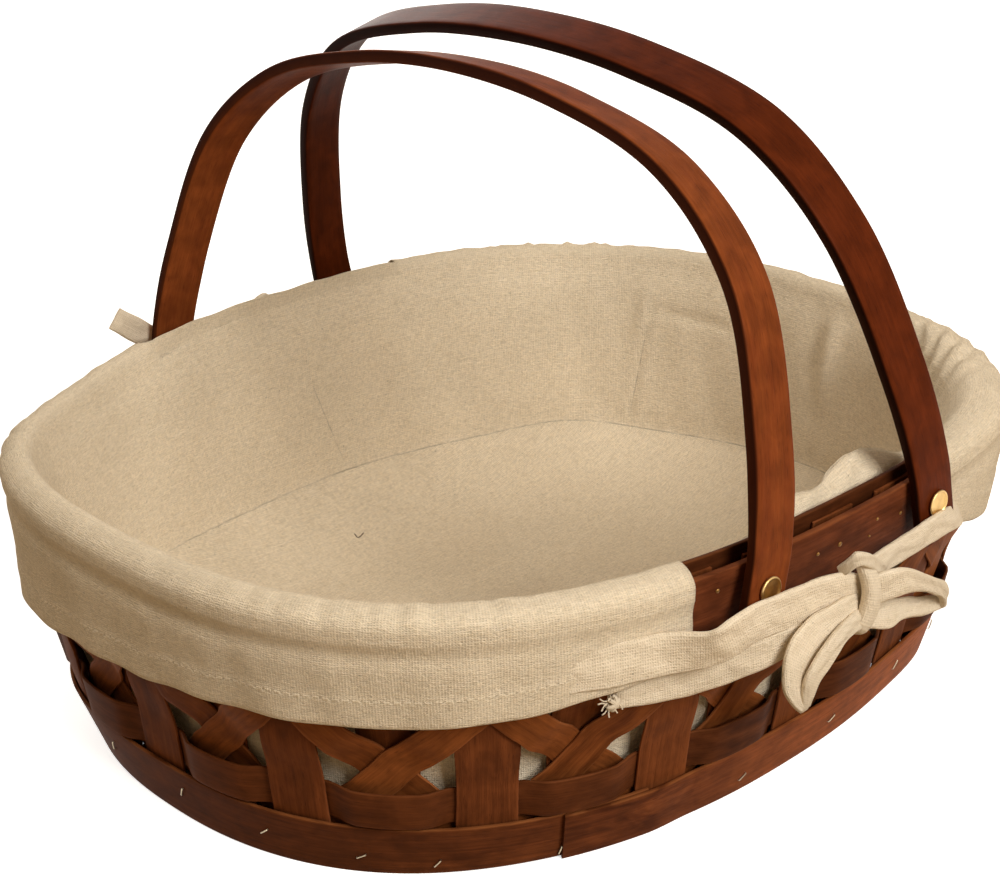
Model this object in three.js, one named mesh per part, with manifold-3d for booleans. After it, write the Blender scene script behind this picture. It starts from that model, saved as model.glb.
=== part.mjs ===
import * as THREE from 'three';
import Module from 'manifold-3d';
import { mergeVertices } from 'three/addons/utils/BufferGeometryUtils.js';

// Oval chipwood market basket with a cloth liner. Millimetres, +Z up, origin under the middle of the base.
// X is the long axis of the oval. The wall leans outwards, so its oval grows from base to rim.
const BASE_HALF_LENGTH = 192.9;
const BASE_HALF_WIDTH = 153.7;
const BASE_SQUARENESS = 2.35;
const FLARE_LENGTH = 12.1;
const FLARE_WIDTH = 19.3;
const RIM_HALF_LENGTH = BASE_HALF_LENGTH + FLARE_LENGTH;
const RIM_HALF_WIDTH = BASE_HALF_WIDTH + FLARE_WIDTH;
const RIM_SQUARENESS = 2.64;
const RIM_HEIGHT = 124.6;
const FLARE = 0.772;

const STATIONS = 32;
const BAYS = STATIONS / 2;
const SPLINT_WIDTH = 24;
const SPLINT_THICKNESS = 1.15;
const LAYER_PITCH = 1.5;
const ARM_WIDTH = 15.5;
const CLEARANCE = 0.35;

const BASE_BAND_TOP = 23;
const BASE_BAND_THICKNESS = 1.4;
const WEAVER_GAP = 1.3;
const WEAVER_WIDTH = 16.7;
const WEAVER_BOTTOM = BASE_BAND_TOP + WEAVER_GAP;
const WEAVER_TOP = WEAVER_BOTTOM + WEAVER_WIDTH;
const OUTER_RIM_DROP = 5.3;
const OUTER_RIM_WIDTH = 29.3;
const OUTER_RIM_THICKNESS = 2.7;
const OUTER_RIM_TOP = RIM_HEIGHT - OUTER_RIM_DROP;
const OUTER_RIM_BOTTOM = OUTER_RIM_TOP - OUTER_RIM_WIDTH;
const INNER_RIM_DROP = 1.8;
const INNER_RIM_WIDTH = 27.8;
const INNER_RIM_THICKNESS = 1.8;
const INNER_RIM_TOP = RIM_HEIGHT - INNER_RIM_DROP;
const INNER_RIM_BOTTOM = INNER_RIM_TOP - INNER_RIM_WIDTH;
const SPLINT_DROP = 1.3;
const SPLINT_TOP = OUTER_RIM_TOP - SPLINT_DROP;
const RING_STEPS = 96;

// Depth of each layer of the wall, measured outwards from the oval through the base band's outer face.
// BAND_BOW is how far the straight base band stands inside the curved wall at half its height.
const BAND_BOW = 0.5;
const FOOT_DEPTH = -BASE_BAND_THICKNESS - CLEARANCE - BAND_BOW - SPLINT_THICKNESS / 2;
const OUTER_AT_WEAVER = FOOT_DEPTH;
const WEAVER_BEHIND = OUTER_AT_WEAVER - LAYER_PITCH;
const WEAVER_BULGE = 0.9;
const ARM_BEHIND = WEAVER_BEHIND - LAYER_PITCH;
const INNER_AT_WEAVER = ARM_BEHIND - LAYER_PITCH;
const STAKE_AT_RIM = -0.6;
// ARM_SLACK is more room where the arms cross on the tightest curve of the oval.
const ARM_SLACK = 0.3;
const UNDER_ARM_AT_RIM = STAKE_AT_RIM + LAYER_PITCH;
const OVER_ARM_AT_RIM = UNDER_ARM_AT_RIM + LAYER_PITCH + ARM_SLACK;
const OUTER_RIM_DEPTH = OVER_ARM_AT_RIM + SPLINT_THICKNESS / 2 + CLEARANCE + OUTER_RIM_THICKNESS / 2;
const INNER_RIM_DEPTH = STAKE_AT_RIM - SPLINT_THICKNESS / 2 - CLEARANCE - INNER_RIM_THICKNESS / 2;

// The crossed arms of each bay meet in front of its inner stake, and run at 45 degrees from there.
const ARM_CROSSING_HEIGHT = 47;
const ARM_FOOT = -38;
const ARM_TIP = 72;

// Woven base: crosswise splints at one spacing, lengthwise splints at another, each a share of the base.
const CROSSWISE_REACH = 4;
const CROSSWISE_SHARE = 0.1607;
const CROSSWISE_SPACING = BASE_HALF_LENGTH * CROSSWISE_SHARE;
const LENGTHWISE_REACH = 3;
const LENGTHWISE_SHARE = 0.18868;
const LENGTHWISE_SPACING = BASE_HALF_WIDTH * LENGTHWISE_SHARE;
const BASE_MIDDLE = 1.85;
const BASE_WEAVE = 0.8;
const PLATEAU = SPLINT_WIDTH / 2 + 0.5;

// Swing handles: two bent strips, each hung on two rivets.
const PIVOT_X = 51.4;
const PIVOT_DROP = 10.5;
const PIVOT_HEIGHT = OUTER_RIM_TOP - PIVOT_DROP;
const HANDLE_OFFSET = 8.1;
const HANDLE_PLANE = RIM_HALF_WIDTH + HANDLE_OFFSET;
const HOLE_REACH = 25;
const HANDLE_WIDTH = 21.6;
const HANDLE_THICKNESS = 4.25;
const HANDLE_STUB = 17;
const FRONT_LEAN = 10.7;
const REAR_LEAN = -13.35;
const FRONT_APEX = 159;
const REAR_APEX = 171;
const HANDLE_SHARE = [0, 0.1, 0.33, 0.66, 0.87, 0.97, 1];
const FRONT_BEND = [1, 0.9983, 0.9569, 0.8415, 0.6234, 0.3131, 0];
const REAR_BEND = [1, 0.9983, 0.9553, 0.836, 0.646, 0.3313, 0];
const FRONT_HALF_WIDTH = FRONT_BEND.map((share) => share * HANDLE_PLANE);
const REAR_HALF_WIDTH = REAR_BEND.map((share) => share * HANDLE_PLANE);

const SHANK_RADIUS = 2.4;
const SHANK_PLAY = 0.08;
const RIVET_HEAD_RADIUS = 5.5;
const RIVET_HEAD_HEIGHT = 2;
const COLLAR_RADIUS = 4.6;
const BURR_THICKNESS = 1.2;
const RIVET_SIDES = 14;

// Cloth liner: a basin inside the wall and two cuffs turned down over the rim, one at each end.
const CLOTH = 1.4;
const BASIN_DEPTH = -9.7;
const BASIN_THICKNESS = 2.2;
const BASIN_DROP = 5;
const BASIN_TOP = SPLINT_TOP - BASIN_DROP;
const BASIN_FLOOR = 4.6;
const BASIN_STEPS = 40;
const CUFF_FIRST = 6;
const CUFF_LAST = 42;
const CUFF_OUTSIDE = OUTER_RIM_DEPTH + OUTER_RIM_THICKNESS / 2 + CLEARANCE + CLOTH / 2;

const STRAP_WIDTH = 10.5;
const STRAP_THICKNESS = 1.6;
const STRAP_OFFSET = 6.5;
const STRAP_PLANE = HANDLE_PLANE + STRAP_OFFSET;
const KNOT_X = -3;
const KNOT_DROP = 25.3;
const KNOT_HEIGHT = OUTER_RIM_TOP - KNOT_DROP;

const wasm = await Module();
wasm.setup();

const ringTables = new Map();

// Half length, half width and exponent of the oval at a height.
function ovalAt(z) {
  const share = Math.pow(Math.max(z, 0) / RIM_HEIGHT, FLARE);
  return {
    a: THREE.MathUtils.lerp(BASE_HALF_LENGTH, RIM_HALF_LENGTH, share),
    b: THREE.MathUtils.lerp(BASE_HALF_WIDTH, RIM_HALF_WIDTH, share),
    n: THREE.MathUtils.lerp(BASE_SQUARENESS, RIM_SQUARENESS, share),
  };
}

// Points of the oval at a height with the distance round it, from the middle of the near side.
function ringTable(z) {
  const key = z.toFixed(2);
  if (ringTables.has(key)) return ringTables.get(key);
  const { a, b, n } = ovalAt(z);
  const steps = 720;
  const points = [];
  const lengths = [0];
  for (let i = 0; i <= steps; i++) {
    const t = -Math.PI / 2 + (2 * Math.PI * i) / steps;
    const c = Math.cos(t);
    const s = Math.sin(t);
    const x = a * Math.sign(c) * Math.pow(Math.abs(c), 2 / n);
    const y = b * Math.sign(s) * Math.pow(Math.abs(s), 2 / n);
    points.push([x, y]);
    if (i > 0) {
      lengths.push(lengths[i - 1] + Math.hypot(x - points[i - 1][0], y - points[i - 1][1]));
    }
  }
  const table = { points, lengths, a, b, n, total: lengths[steps] };
  ringTables.set(key, table);
  return table;
}

// Point on the wall: share of a turn from the middle of the near side, height, depth outwards.
function wallPoint(turn, z, depth) {
  const { points, lengths, a, b, n, total } = ringTable(z);
  const wanted = (turn - Math.floor(turn)) * total;
  let low = 0;
  let high = lengths.length - 1;
  while (high - low > 1) {
    const middle = (low + high) >> 1;
    if (lengths[middle] <= wanted) low = middle;
    else high = middle;
  }
  const k = (wanted - lengths[low]) / (lengths[high] - lengths[low]);
  const x = points[low][0] + k * (points[high][0] - points[low][0]);
  const y = points[low][1] + k * (points[high][1] - points[low][1]);
  const nx = (Math.sign(x) * Math.pow(Math.abs(x) / a, n - 1)) / a;
  const ny = (Math.sign(y) * Math.pow(Math.abs(y) / b, n - 1)) / b;
  const size = Math.hypot(nx, ny);
  return new THREE.Vector3(x + (nx / size) * depth, y + (ny / size) * depth, z);
}

// The same, with the place given as a station and a distance in millimetres beside it.
function besideStation(station, beside, z, depth) {
  return wallPoint(station / STATIONS + beside / ringTable(z).total, z, depth);
}

// Value at x of the line through the given [x, value] pairs.
function along(pairs, x) {
  if (x <= pairs[0][0]) return pairs[0][1];
  for (let i = 1; i < pairs.length; i++) {
    if (x <= pairs[i][0]) {
      const share = (x - pairs[i - 1][0]) / (pairs[i][0] - pairs[i - 1][0]);
      return THREE.MathUtils.lerp(pairs[i - 1][1], pairs[i][1], share);
    }
  }
  return pairs[pairs.length - 1][1];
}

function geometryOf(vertices, faces) {
  let volume = 0;
  for (const [i, j, k] of faces) {
    volume += vertices[i].dot(new THREE.Vector3().crossVectors(vertices[j], vertices[k]));
  }
  const index = faces.flatMap(([i, j, k]) => (volume < 0 ? [i, k, j] : [i, j, k]));
  const geometry = new THREE.BufferGeometry();
  geometry.setAttribute('position', new THREE.Float32BufferAttribute(vertices.flatMap((v) => v.toArray()), 3));
  geometry.setIndex(index);
  geometry.computeVertexNormals();
  return geometry;
}

// Closed solid between two grids of points of the same size, one on each side of a strip.
function solidBetween(sideA, sideB) {
  const rows = sideA.length;
  const columns = sideA[0].length;
  const vertices = [...sideA.flat(), ...sideB.flat()];
  const shift = rows * columns;
  const a = (i, j) => i * columns + j;
  const b = (i, j) => shift + i * columns + j;
  const faces = [];
  const quad = (p, q, r, s) => faces.push([p, q, r], [p, r, s]);
  for (let i = 0; i < rows - 1; i++) {
    for (let j = 0; j < columns - 1; j++) {
      quad(a(i, j), a(i + 1, j), a(i + 1, j + 1), a(i, j + 1));
      quad(b(i, j), b(i, j + 1), b(i + 1, j + 1), b(i + 1, j));
    }
    quad(a(i, 0), b(i, 0), b(i + 1, 0), a(i + 1, 0));
    quad(a(i, columns - 1), a(i + 1, columns - 1), b(i + 1, columns - 1), b(i, columns - 1));
  }
  for (let j = 0; j < columns - 1; j++) {
    quad(a(0, j), a(0, j + 1), b(0, j + 1), b(0, j));
    quad(a(rows - 1, j), b(rows - 1, j), b(rows - 1, j + 1), a(rows - 1, j + 1));
  }
  return geometryOf(vertices, faces);
}

// Closed solid of even thickness about a grid of points.
function sheetSolid(grid, thickness) {
  const rows = grid.length;
  const columns = grid[0].length;
  const shifted = (side) =>
    grid.map((row, i) =>
      row.map((point, j) => {
        const down = grid[Math.min(i + 1, rows - 1)][j].clone().sub(grid[Math.max(i - 1, 0)][j]);
        const across = row[Math.min(j + 1, columns - 1)].clone().sub(row[Math.max(j - 1, 0)]);
        const normal = across.cross(down).normalize();
        return point.clone().addScaledVector(normal, (side * thickness) / 2);
      }),
    );
  return solidBetween(shifted(1), shifted(-1));
}

// Closed solid through a stack of rings with a point at each end.
function stackedRings(first, rings, last) {
  const count = rings[0].length;
  const vertices = [first, ...rings.flat(), last];
  const at = (ring, i) => 1 + ring * count + (i % count);
  const end = vertices.length - 1;
  const faces = [];
  for (let i = 0; i < count; i++) {
    faces.push([0, at(0, i + 1), at(0, i)]);
    faces.push([end, at(rings.length - 1, i), at(rings.length - 1, i + 1)]);
    for (let r = 0; r < rings.length - 1; r++) {
      faces.push([at(r, i), at(r, i + 1), at(r + 1, i + 1)]);
      faces.push([at(r, i), at(r + 1, i + 1), at(r + 1, i)]);
    }
  }
  return geometryOf(vertices, faces);
}

// Round solid about a line along Y through (x, z), from [radius, y] pairs.
function turnedAlongY(x, z, profile, sides) {
  const ring = ([radius, y]) =>
    Array.from({ length: sides }, (_, i) => {
      const angle = (2 * Math.PI * i) / sides;
      return new THREE.Vector3(x + radius * Math.cos(angle), y, z + radius * Math.sin(angle));
    });
  const first = new THREE.Vector3(x, profile[0][1], z);
  const last = new THREE.Vector3(x, profile[profile.length - 1][1], z);
  return stackedRings(first, profile.map(ring), last);
}

function manifoldOf(geometry) {
  const bare = geometry.clone();
  bare.deleteAttribute('normal');
  bare.deleteAttribute('uv');
  const merged = mergeVertices(bare, 1e-4);
  return new wasm.Manifold(
    new wasm.Mesh({
      numProp: 3,
      vertProperties: new Float32Array(merged.attributes.position.array),
      triVerts: new Uint32Array(merged.index.array),
    }),
  );
}

function geometryFrom(solid) {
  const mesh = solid.getMesh();
  const geometry = new THREE.BufferGeometry();
  geometry.setAttribute('position', new THREE.Float32BufferAttribute(Array.from(mesh.vertProperties), 3));
  geometry.setIndex(Array.from(mesh.triVerts));
  geometry.computeVertexNormals();
  return geometry;
}

function cutAway(geometry, cutters) {
  const solid = cutters.reduce((left, cutter) => left.subtract(manifoldOf(cutter)), manifoldOf(geometry));
  return geometryFrom(solid);
}

const basket = new THREE.Group();
basket.name = 'chipwood_basket';

function addPiece(name, geometry, look) {
  const material = new THREE.MeshStandardMaterial(look);
  const mesh = new THREE.Mesh(geometry, material);
  mesh.name = name;
  basket.add(mesh);
  return mesh;
}

const STAINED_CHIPWOOD = { color: 0x4a2413, roughness: 0.62, metalness: 0 };
const STAINED_ARM = { color: 0x55280f, roughness: 0.62, metalness: 0 };
const STAINED_BAND = { color: 0x5a2c16, roughness: 0.58, metalness: 0 };
const FRONT_HANDLE_WOOD = { color: 0x9a5a30, roughness: 0.55, metalness: 0 };
const REAR_HANDLE_WOOD = { color: 0x6e3a1e, roughness: 0.55, metalness: 0 };
const BRASS = { color: 0xb08a4a, roughness: 0.35, metalness: 1 };
const LINEN = { color: 0xcdbb99, roughness: 0.95, metalness: 0 };

// Depth of a stake's middle at a height; stakes at odd stations run behind the weaver.
const OUTER_STAKE_PATH = [
  [5.5, FOOT_DEPTH],
  [BASE_BAND_TOP, FOOT_DEPTH],
  [WEAVER_TOP + 1, OUTER_AT_WEAVER],
  [60, STAKE_AT_RIM],
  [SPLINT_TOP, STAKE_AT_RIM],
];
const INNER_STAKE_PATH = [
  [5.5, FOOT_DEPTH],
  [9, FOOT_DEPTH - 0.3],
  [22, INNER_AT_WEAVER],
  [60, INNER_AT_WEAVER],
  [78, STAKE_AT_RIM - 2.2],
  [92, STAKE_AT_RIM],
  [SPLINT_TOP, STAKE_AT_RIM],
];

function stakePath(station) {
  return station % 2 === 0 ? OUTER_STAKE_PATH : INNER_STAKE_PATH;
}

// Rows of one stake from its top down to the bend into the base; side is 1 or -1 to keep the
// columns in the same order on both sides of the basket.
function stakeRows(station, side) {
  const half = (side * SPLINT_WIDTH) / 2;
  const row = (z, depth) => [-half, 0, half].map((beside) => besideStation(station, beside, z, depth));
  const upper = [...stakePath(station)].reverse().map(([z, depth]) => row(z, depth));
  return [...upper, row(2.9, FOOT_DEPTH - 0.8), row(BASE_MIDDLE, FOOT_DEPTH - 3.6)];
}

function baseLevel(crosswise, lengthwise, isCrosswise) {
  const over = (crosswise + lengthwise) % 2 === 0;
  return BASE_MIDDLE + (over === isCrosswise ? BASE_WEAVE : -BASE_WEAVE);
}

function crosswiseSplint(k) {
  const half = SPLINT_WIDTH / 2;
  const rows = [];
  for (let m = -LENGTHWISE_REACH; m <= LENGTHWISE_REACH; m++) {
    for (const end of [-PLATEAU, PLATEAU]) {
      const y = m * LENGTHWISE_SPACING + end;
      const z = baseLevel(k, m, true);
      rows.push([-half, 0, half].map((w) => new THREE.Vector3(k * CROSSWISE_SPACING + w, y, z)));
    }
  }
  const near = stakeRows(k, 1);
  const far = stakeRows(STATIONS / 2 - k, -1).reverse();
  return sheetSolid([...near, ...rows, ...far], SPLINT_THICKNESS);
}

function lengthwiseSplint(m) {
  const half = SPLINT_WIDTH / 2;
  const rows = [];
  for (let k = -CROSSWISE_REACH; k <= CROSSWISE_REACH; k++) {
    for (const end of [-PLATEAU, PLATEAU]) {
      const x = k * CROSSWISE_SPACING + end;
      const z = baseLevel(k, m, false);
      rows.push([half, 0, -half].map((w) => new THREE.Vector3(x, m * LENGTHWISE_SPACING + w, z)));
    }
  }
  const station = STATIONS / 4 + m;
  const left = stakeRows(-station, 1);
  const right = stakeRows(station, -1).reverse();
  return sheetSolid([...left, ...rows, ...right], SPLINT_THICKNESS);
}

// Y of the wall's surface at an x near the middle of the near side, as a positive number.
function wallReach(x, z, depth) {
  let low = -0.2;
  let high = 0.2;
  for (let i = 0; i < 40; i++) {
    const middle = (low + high) / 2;
    if (wallPoint(middle, z, depth).x < x) low = middle;
    else high = middle;
  }
  return -wallPoint(low, z, depth).y;
}

const rivetPlaces = [
  { name: 'rivet_front_near', x: -PIVOT_X, side: -1 },
  { name: 'rivet_front_far', x: -PIVOT_X, side: 1 },
  { name: 'rivet_rear_near', x: PIVOT_X, side: -1 },
  { name: 'rivet_rear_far', x: PIVOT_X, side: 1 },
];

function clearanceHole(place, radius) {
  const profile = [
    [radius, place.side * (HANDLE_PLANE - HOLE_REACH)],
    [radius, place.side * (HANDLE_PLANE + HOLE_REACH)],
  ];
  return turnedAlongY(place.x, PIVOT_HEIGHT, profile, RIVET_SIDES);
}

const wallHoles = rivetPlaces.map((place) => clearanceHole(place, SHANK_RADIUS + CLEARANCE));
const handleHoles = rivetPlaces.map((place) => clearanceHole(place, SHANK_RADIUS + SHANK_PLAY));

for (let k = -CROSSWISE_REACH; k <= CROSSWISE_REACH; k++) {
  const whole = crosswiseSplint(k);
  const geometry = Math.abs(k) === 1 ? cutAway(whole, wallHoles) : whole;
  addPiece(`splint_crosswise_${k + CROSSWISE_REACH + 1}`, geometry, STAINED_CHIPWOOD);
}
for (let m = -LENGTHWISE_REACH; m <= LENGTHWISE_REACH; m++) {
  addPiece(`splint_lengthwise_${m + LENGTHWISE_REACH + 1}`, lengthwiseSplint(m), STAINED_CHIPWOOD);
}

// Depth of an arm's middle by distance along it from the crossing. The rising arm lies over the other.
const UNDER_ARM_PATH = [
  [ARM_FOOT, ARM_BEHIND],
  [8, ARM_BEHIND],
  [17, (ARM_BEHIND + UNDER_ARM_AT_RIM) / 2],
  [26, UNDER_ARM_AT_RIM],
  [ARM_TIP, UNDER_ARM_AT_RIM],
];
const OVER_ARM_PATH = [
  [ARM_FOOT, ARM_BEHIND],
  [-25, ARM_BEHIND],
  [-9, ARM_BEHIND + LAYER_PITCH],
  [9, ARM_BEHIND + LAYER_PITCH],
  [26, UNDER_ARM_AT_RIM],
  [38, OVER_ARM_AT_RIM],
  [ARM_TIP, OVER_ARM_AT_RIM],
];
const ARM_ROWS = [ARM_FOOT, -25, -9, 8, 17, 26, 38, 55, ARM_TIP];

// lean is 1 for an arm that rises anticlockwise round the basket, -1 for one that rises the other way.
function diagonalArm(bay, lean) {
  const station = 2 * bay + 1;
  const path = lean > 0 ? OVER_ARM_PATH : UNDER_ARM_PATH;
  const rows = ARM_ROWS.map((q) =>
    [-ARM_WIDTH / 2, ARM_WIDTH / 2].map((w) => {
      const beside = (lean * (q + w)) / Math.SQRT2;
      const z = ARM_CROSSING_HEIGHT + (q - w) / Math.SQRT2;
      return besideStation(station, beside, z, along(path, q));
    }),
  );
  return sheetSolid(rows, SPLINT_THICKNESS);
}

for (let bay = 0; bay < BAYS; bay++) {
  const number = String(bay + 1).padStart(2, '0');
  addPiece(`arm_rising_${number}`, diagonalArm(bay, 1), STAINED_ARM);
  addPiece(`arm_falling_${number}`, diagonalArm(bay, -1), STAINED_ARM);
}

// One strip bent round the wall. depthAt gives the middle of its thickness by share of a turn.
function ringStrip(start, turns, bottom, top, thickness, depthAt) {
  const steps = Math.round(RING_STEPS * turns);
  const side = (sign) =>
    Array.from({ length: steps + 1 }, (_, i) => {
      const turn = start + (turns * i) / steps;
      const depth = depthAt(turn, i) + (sign * thickness) / 2;
      return [wallPoint(turn, bottom, depth), wallPoint(turn, top, depth)];
    });
  return solidBetween(side(1), side(-1));
}

const BUTT_GAP = 0.0003;
const BASE_LAP_STEPS = 3;
const BASE_LAP_TURN = -0.1;
addPiece(
  'base_band',
  ringStrip(
    BASE_LAP_TURN,
    1 + BASE_LAP_STEPS / RING_STEPS,
    0,
    BASE_BAND_TOP,
    BASE_BAND_THICKNESS,
    (turn, i) => {
      const raised = along([[BASE_LAP_STEPS, 1], [BASE_LAP_STEPS + 2, 0]], i);
      return -BASE_BAND_THICKNESS / 2 + raised * (BASE_BAND_THICKNESS + CLEARANCE);
    },
  ),
  STAINED_BAND,
);

const STEPS_PER_BAY = RING_STEPS / BAYS;
const WEAVER_DEPTHS = [WEAVER_BEHIND, WEAVER_BEHIND, WEAVER_BULGE - 0.5, WEAVER_BULGE, WEAVER_BULGE - 0.5, WEAVER_BEHIND];
addPiece(
  'weaver',
  ringStrip(0, 1 - BUTT_GAP, WEAVER_BOTTOM, WEAVER_TOP, SPLINT_THICKNESS, (turn, i) => WEAVER_DEPTHS[i % STEPS_PER_BAY]),
  STAINED_CHIPWOOD,
);

addPiece(
  'rim_band_outer',
  cutAway(
    ringStrip(0.25, 1 - BUTT_GAP, OUTER_RIM_BOTTOM, OUTER_RIM_TOP, OUTER_RIM_THICKNESS, () => OUTER_RIM_DEPTH),
    wallHoles,
  ),
  STAINED_BAND,
);
addPiece(
  'rim_band_inner',
  cutAway(
    ringStrip(0.75, 1 - BUTT_GAP, INNER_RIM_BOTTOM, INNER_RIM_TOP, INNER_RIM_THICKNESS, () => INNER_RIM_DEPTH),
    wallHoles,
  ),
  STAINED_BAND,
);

// Flat strip bent into a hoop in a plane that leans about the line through its two rivets.
function swingHandle(pivotX, leanDegrees, apex, halfWidths) {
  const lean = THREE.MathUtils.degToRad(leanDegrees);
  const up = new THREE.Vector3(Math.sin(lean), 0, Math.cos(lean));
  const across = new THREE.Vector3(Math.cos(lean), 0, -Math.sin(lean));
  const foot = new THREE.Vector3(pivotX, 0, PIVOT_HEIGHT);
  const at = (y, height) => foot.clone().addScaledVector(up, height).setY(y);
  const nearSide = HANDLE_SHARE.slice(0, -1).map((share, i) => at(-halfWidths[i], share * apex));
  const farSide = nearSide.map((p) => p.clone().setY(-p.y)).reverse();
  const curve = new THREE.CatmullRomCurve3([...nearSide, at(0, apex), ...farSide], false, 'centripetal');
  const bend = curve.getSpacedPoints(44);
  bend[0] = at(-HANDLE_PLANE, 0);
  bend[bend.length - 1] = at(HANDLE_PLANE, 0);
  const line = [at(-HANDLE_PLANE, -HANDLE_STUB), ...bend, at(HANDLE_PLANE, -HANDLE_STUB)];
  const rows = line.map((p) =>
    [-1, 1].map((side) => p.clone().addScaledVector(across, (side * HANDLE_WIDTH) / 2)),
  );
  return cutAway(sheetSolid(rows, HANDLE_THICKNESS), handleHoles);
}

addPiece('handle_front', swingHandle(-PIVOT_X, FRONT_LEAN, FRONT_APEX, FRONT_HALF_WIDTH), FRONT_HANDLE_WOOD);
addPiece('handle_rear', swingHandle(PIVOT_X, REAR_LEAN, REAR_APEX, REAR_HALF_WIDTH), REAR_HANDLE_WOOD);

// Rivet: burr inside the basket, collar between rim band and handle, domed head outside.
function rivet(place) {
  const outerFace = wallReach(
    PIVOT_X - COLLAR_RADIUS,
    PIVOT_HEIGHT + COLLAR_RADIUS,
    OUTER_RIM_DEPTH + OUTER_RIM_THICKNESS / 2,
  );
  const innerFace = wallReach(
    PIVOT_X + COLLAR_RADIUS,
    PIVOT_HEIGHT - COLLAR_RADIUS,
    INNER_RIM_DEPTH - INNER_RIM_THICKNESS / 2,
  );
  const handleInside = HANDLE_PLANE - HANDLE_THICKNESS / 2;
  const handleOutside = HANDLE_PLANE + HANDLE_THICKNESS / 2;
  const burrTop = innerFace - CLEARANCE;
  const headBottom = handleOutside + CLEARANCE;
  const profile = [
    [COLLAR_RADIUS - 0.5, burrTop - BURR_THICKNESS],
    [COLLAR_RADIUS, burrTop - BURR_THICKNESS / 2],
    [COLLAR_RADIUS, burrTop],
    [SHANK_RADIUS, burrTop],
    [SHANK_RADIUS, outerFace + CLEARANCE],
    [COLLAR_RADIUS, outerFace + CLEARANCE],
    [COLLAR_RADIUS, handleInside - CLEARANCE],
    [SHANK_RADIUS, handleInside - CLEARANCE],
    [SHANK_RADIUS, headBottom],
    [RIVET_HEAD_RADIUS, headBottom],
    [RIVET_HEAD_RADIUS * 0.92, headBottom + RIVET_HEAD_HEIGHT * 0.55],
    [RIVET_HEAD_RADIUS * 0.55, headBottom + RIVET_HEAD_HEIGHT],
  ].map(([radius, reach]) => [radius, place.side * reach]);
  return turnedAlongY(place.x, PIVOT_HEIGHT, profile, RIVET_SIDES);
}

for (const place of rivetPlaces) {
  addPiece(place.name, rivet(place), BRASS);
}

// Cloth basin: a thick skin with a floor, open at the top.
function clothBasin() {
  const ring = (z, depth) =>
    Array.from({ length: BASIN_STEPS }, (_, i) => wallPoint(i / BASIN_STEPS, z, depth));
  const half = BASIN_THICKNESS / 2;
  const outside = [
    ring(BASIN_FLOOR - half, -70),
    ring(BASIN_FLOOR - half, BASIN_DEPTH - 14),
    ring(BASIN_FLOOR + 4, BASIN_DEPTH - 5),
    ring(26, BASIN_DEPTH + half),
    ring(BASIN_TOP, BASIN_DEPTH + half),
  ];
  const inside = [
    ring(BASIN_TOP, BASIN_DEPTH - half),
    ring(26, BASIN_DEPTH - half),
    ring(BASIN_FLOOR + 5.6, BASIN_DEPTH - 7.5),
    ring(BASIN_FLOOR + half, BASIN_DEPTH - 17),
    ring(BASIN_FLOOR + half, -70),
  ];
  const first = new THREE.Vector3(0, 0, BASIN_FLOOR - half);
  const last = new THREE.Vector3(0, 0, BASIN_FLOOR + half);
  return stackedRings(first, [...outside, ...inside], last);
}

// How far a cuff hangs below the rim band's top, by share of a turn from the middle of the near or far side.
const CUFF_HANG = [
  [0.06, 38.3],
  [0.12, 43.8],
  [0.2, 45.8],
  [0.25, 50.3],
];

// Cuff: cloth turned over the rim from inside, hanging outside with soft waves at its hem.
function clothCuff(firstStep, lastStep) {
  const insideRim = INNER_RIM_DEPTH - INNER_RIM_THICKNESS / 2;
  const rows = [];
  for (let step = firstStep; step <= lastStep; step++) {
    const turn = step / RING_STEPS;
    const share = Math.abs(0.5 - (((turn % 0.5) + 0.5) % 0.5) * 2) / 2;
    const hem = OUTER_RIM_TOP - along(CUFF_HANG, 0.25 - share);
    const wave = 0.9 * Math.sin(step * 1.7) + 0.7 * Math.sin(step * 0.9 + 1);
    const profile = [
      [BASIN_DEPTH - 2.2, BASIN_TOP - 9],
      [insideRim - 2.2, INNER_RIM_TOP - 0.9],
      [insideRim - 0.4, INNER_RIM_TOP + CLEARANCE + CLOTH / 2],
      [INNER_RIM_DEPTH + 2, INNER_RIM_TOP + CLEARANCE + CLOTH / 2],
      [OUTER_RIM_DEPTH + 1.9, OUTER_RIM_TOP + 1.7],
      [CUFF_OUTSIDE + 0.4, OUTER_RIM_TOP - 0.5],
      [CUFF_OUTSIDE + 0.6 + Math.max(wave, -0.5), hem],
    ];
    rows.push(profile.map(([depth, z]) => wallPoint(turn, z, depth)));
  }
  return sheetSolid(rows, CLOTH);
}

// Flat strap through points on the near side, its width along the given directions.
function strap(points, widths, thickness) {
  const rows = points.map((p, i) => {
    const width = new THREE.Vector3(...widths[i]);
    return [-0.5, 0.5].map((side) => new THREE.Vector3(...p).addScaledVector(width, side));
  });
  return sheetSolid(rows, thickness);
}

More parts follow.
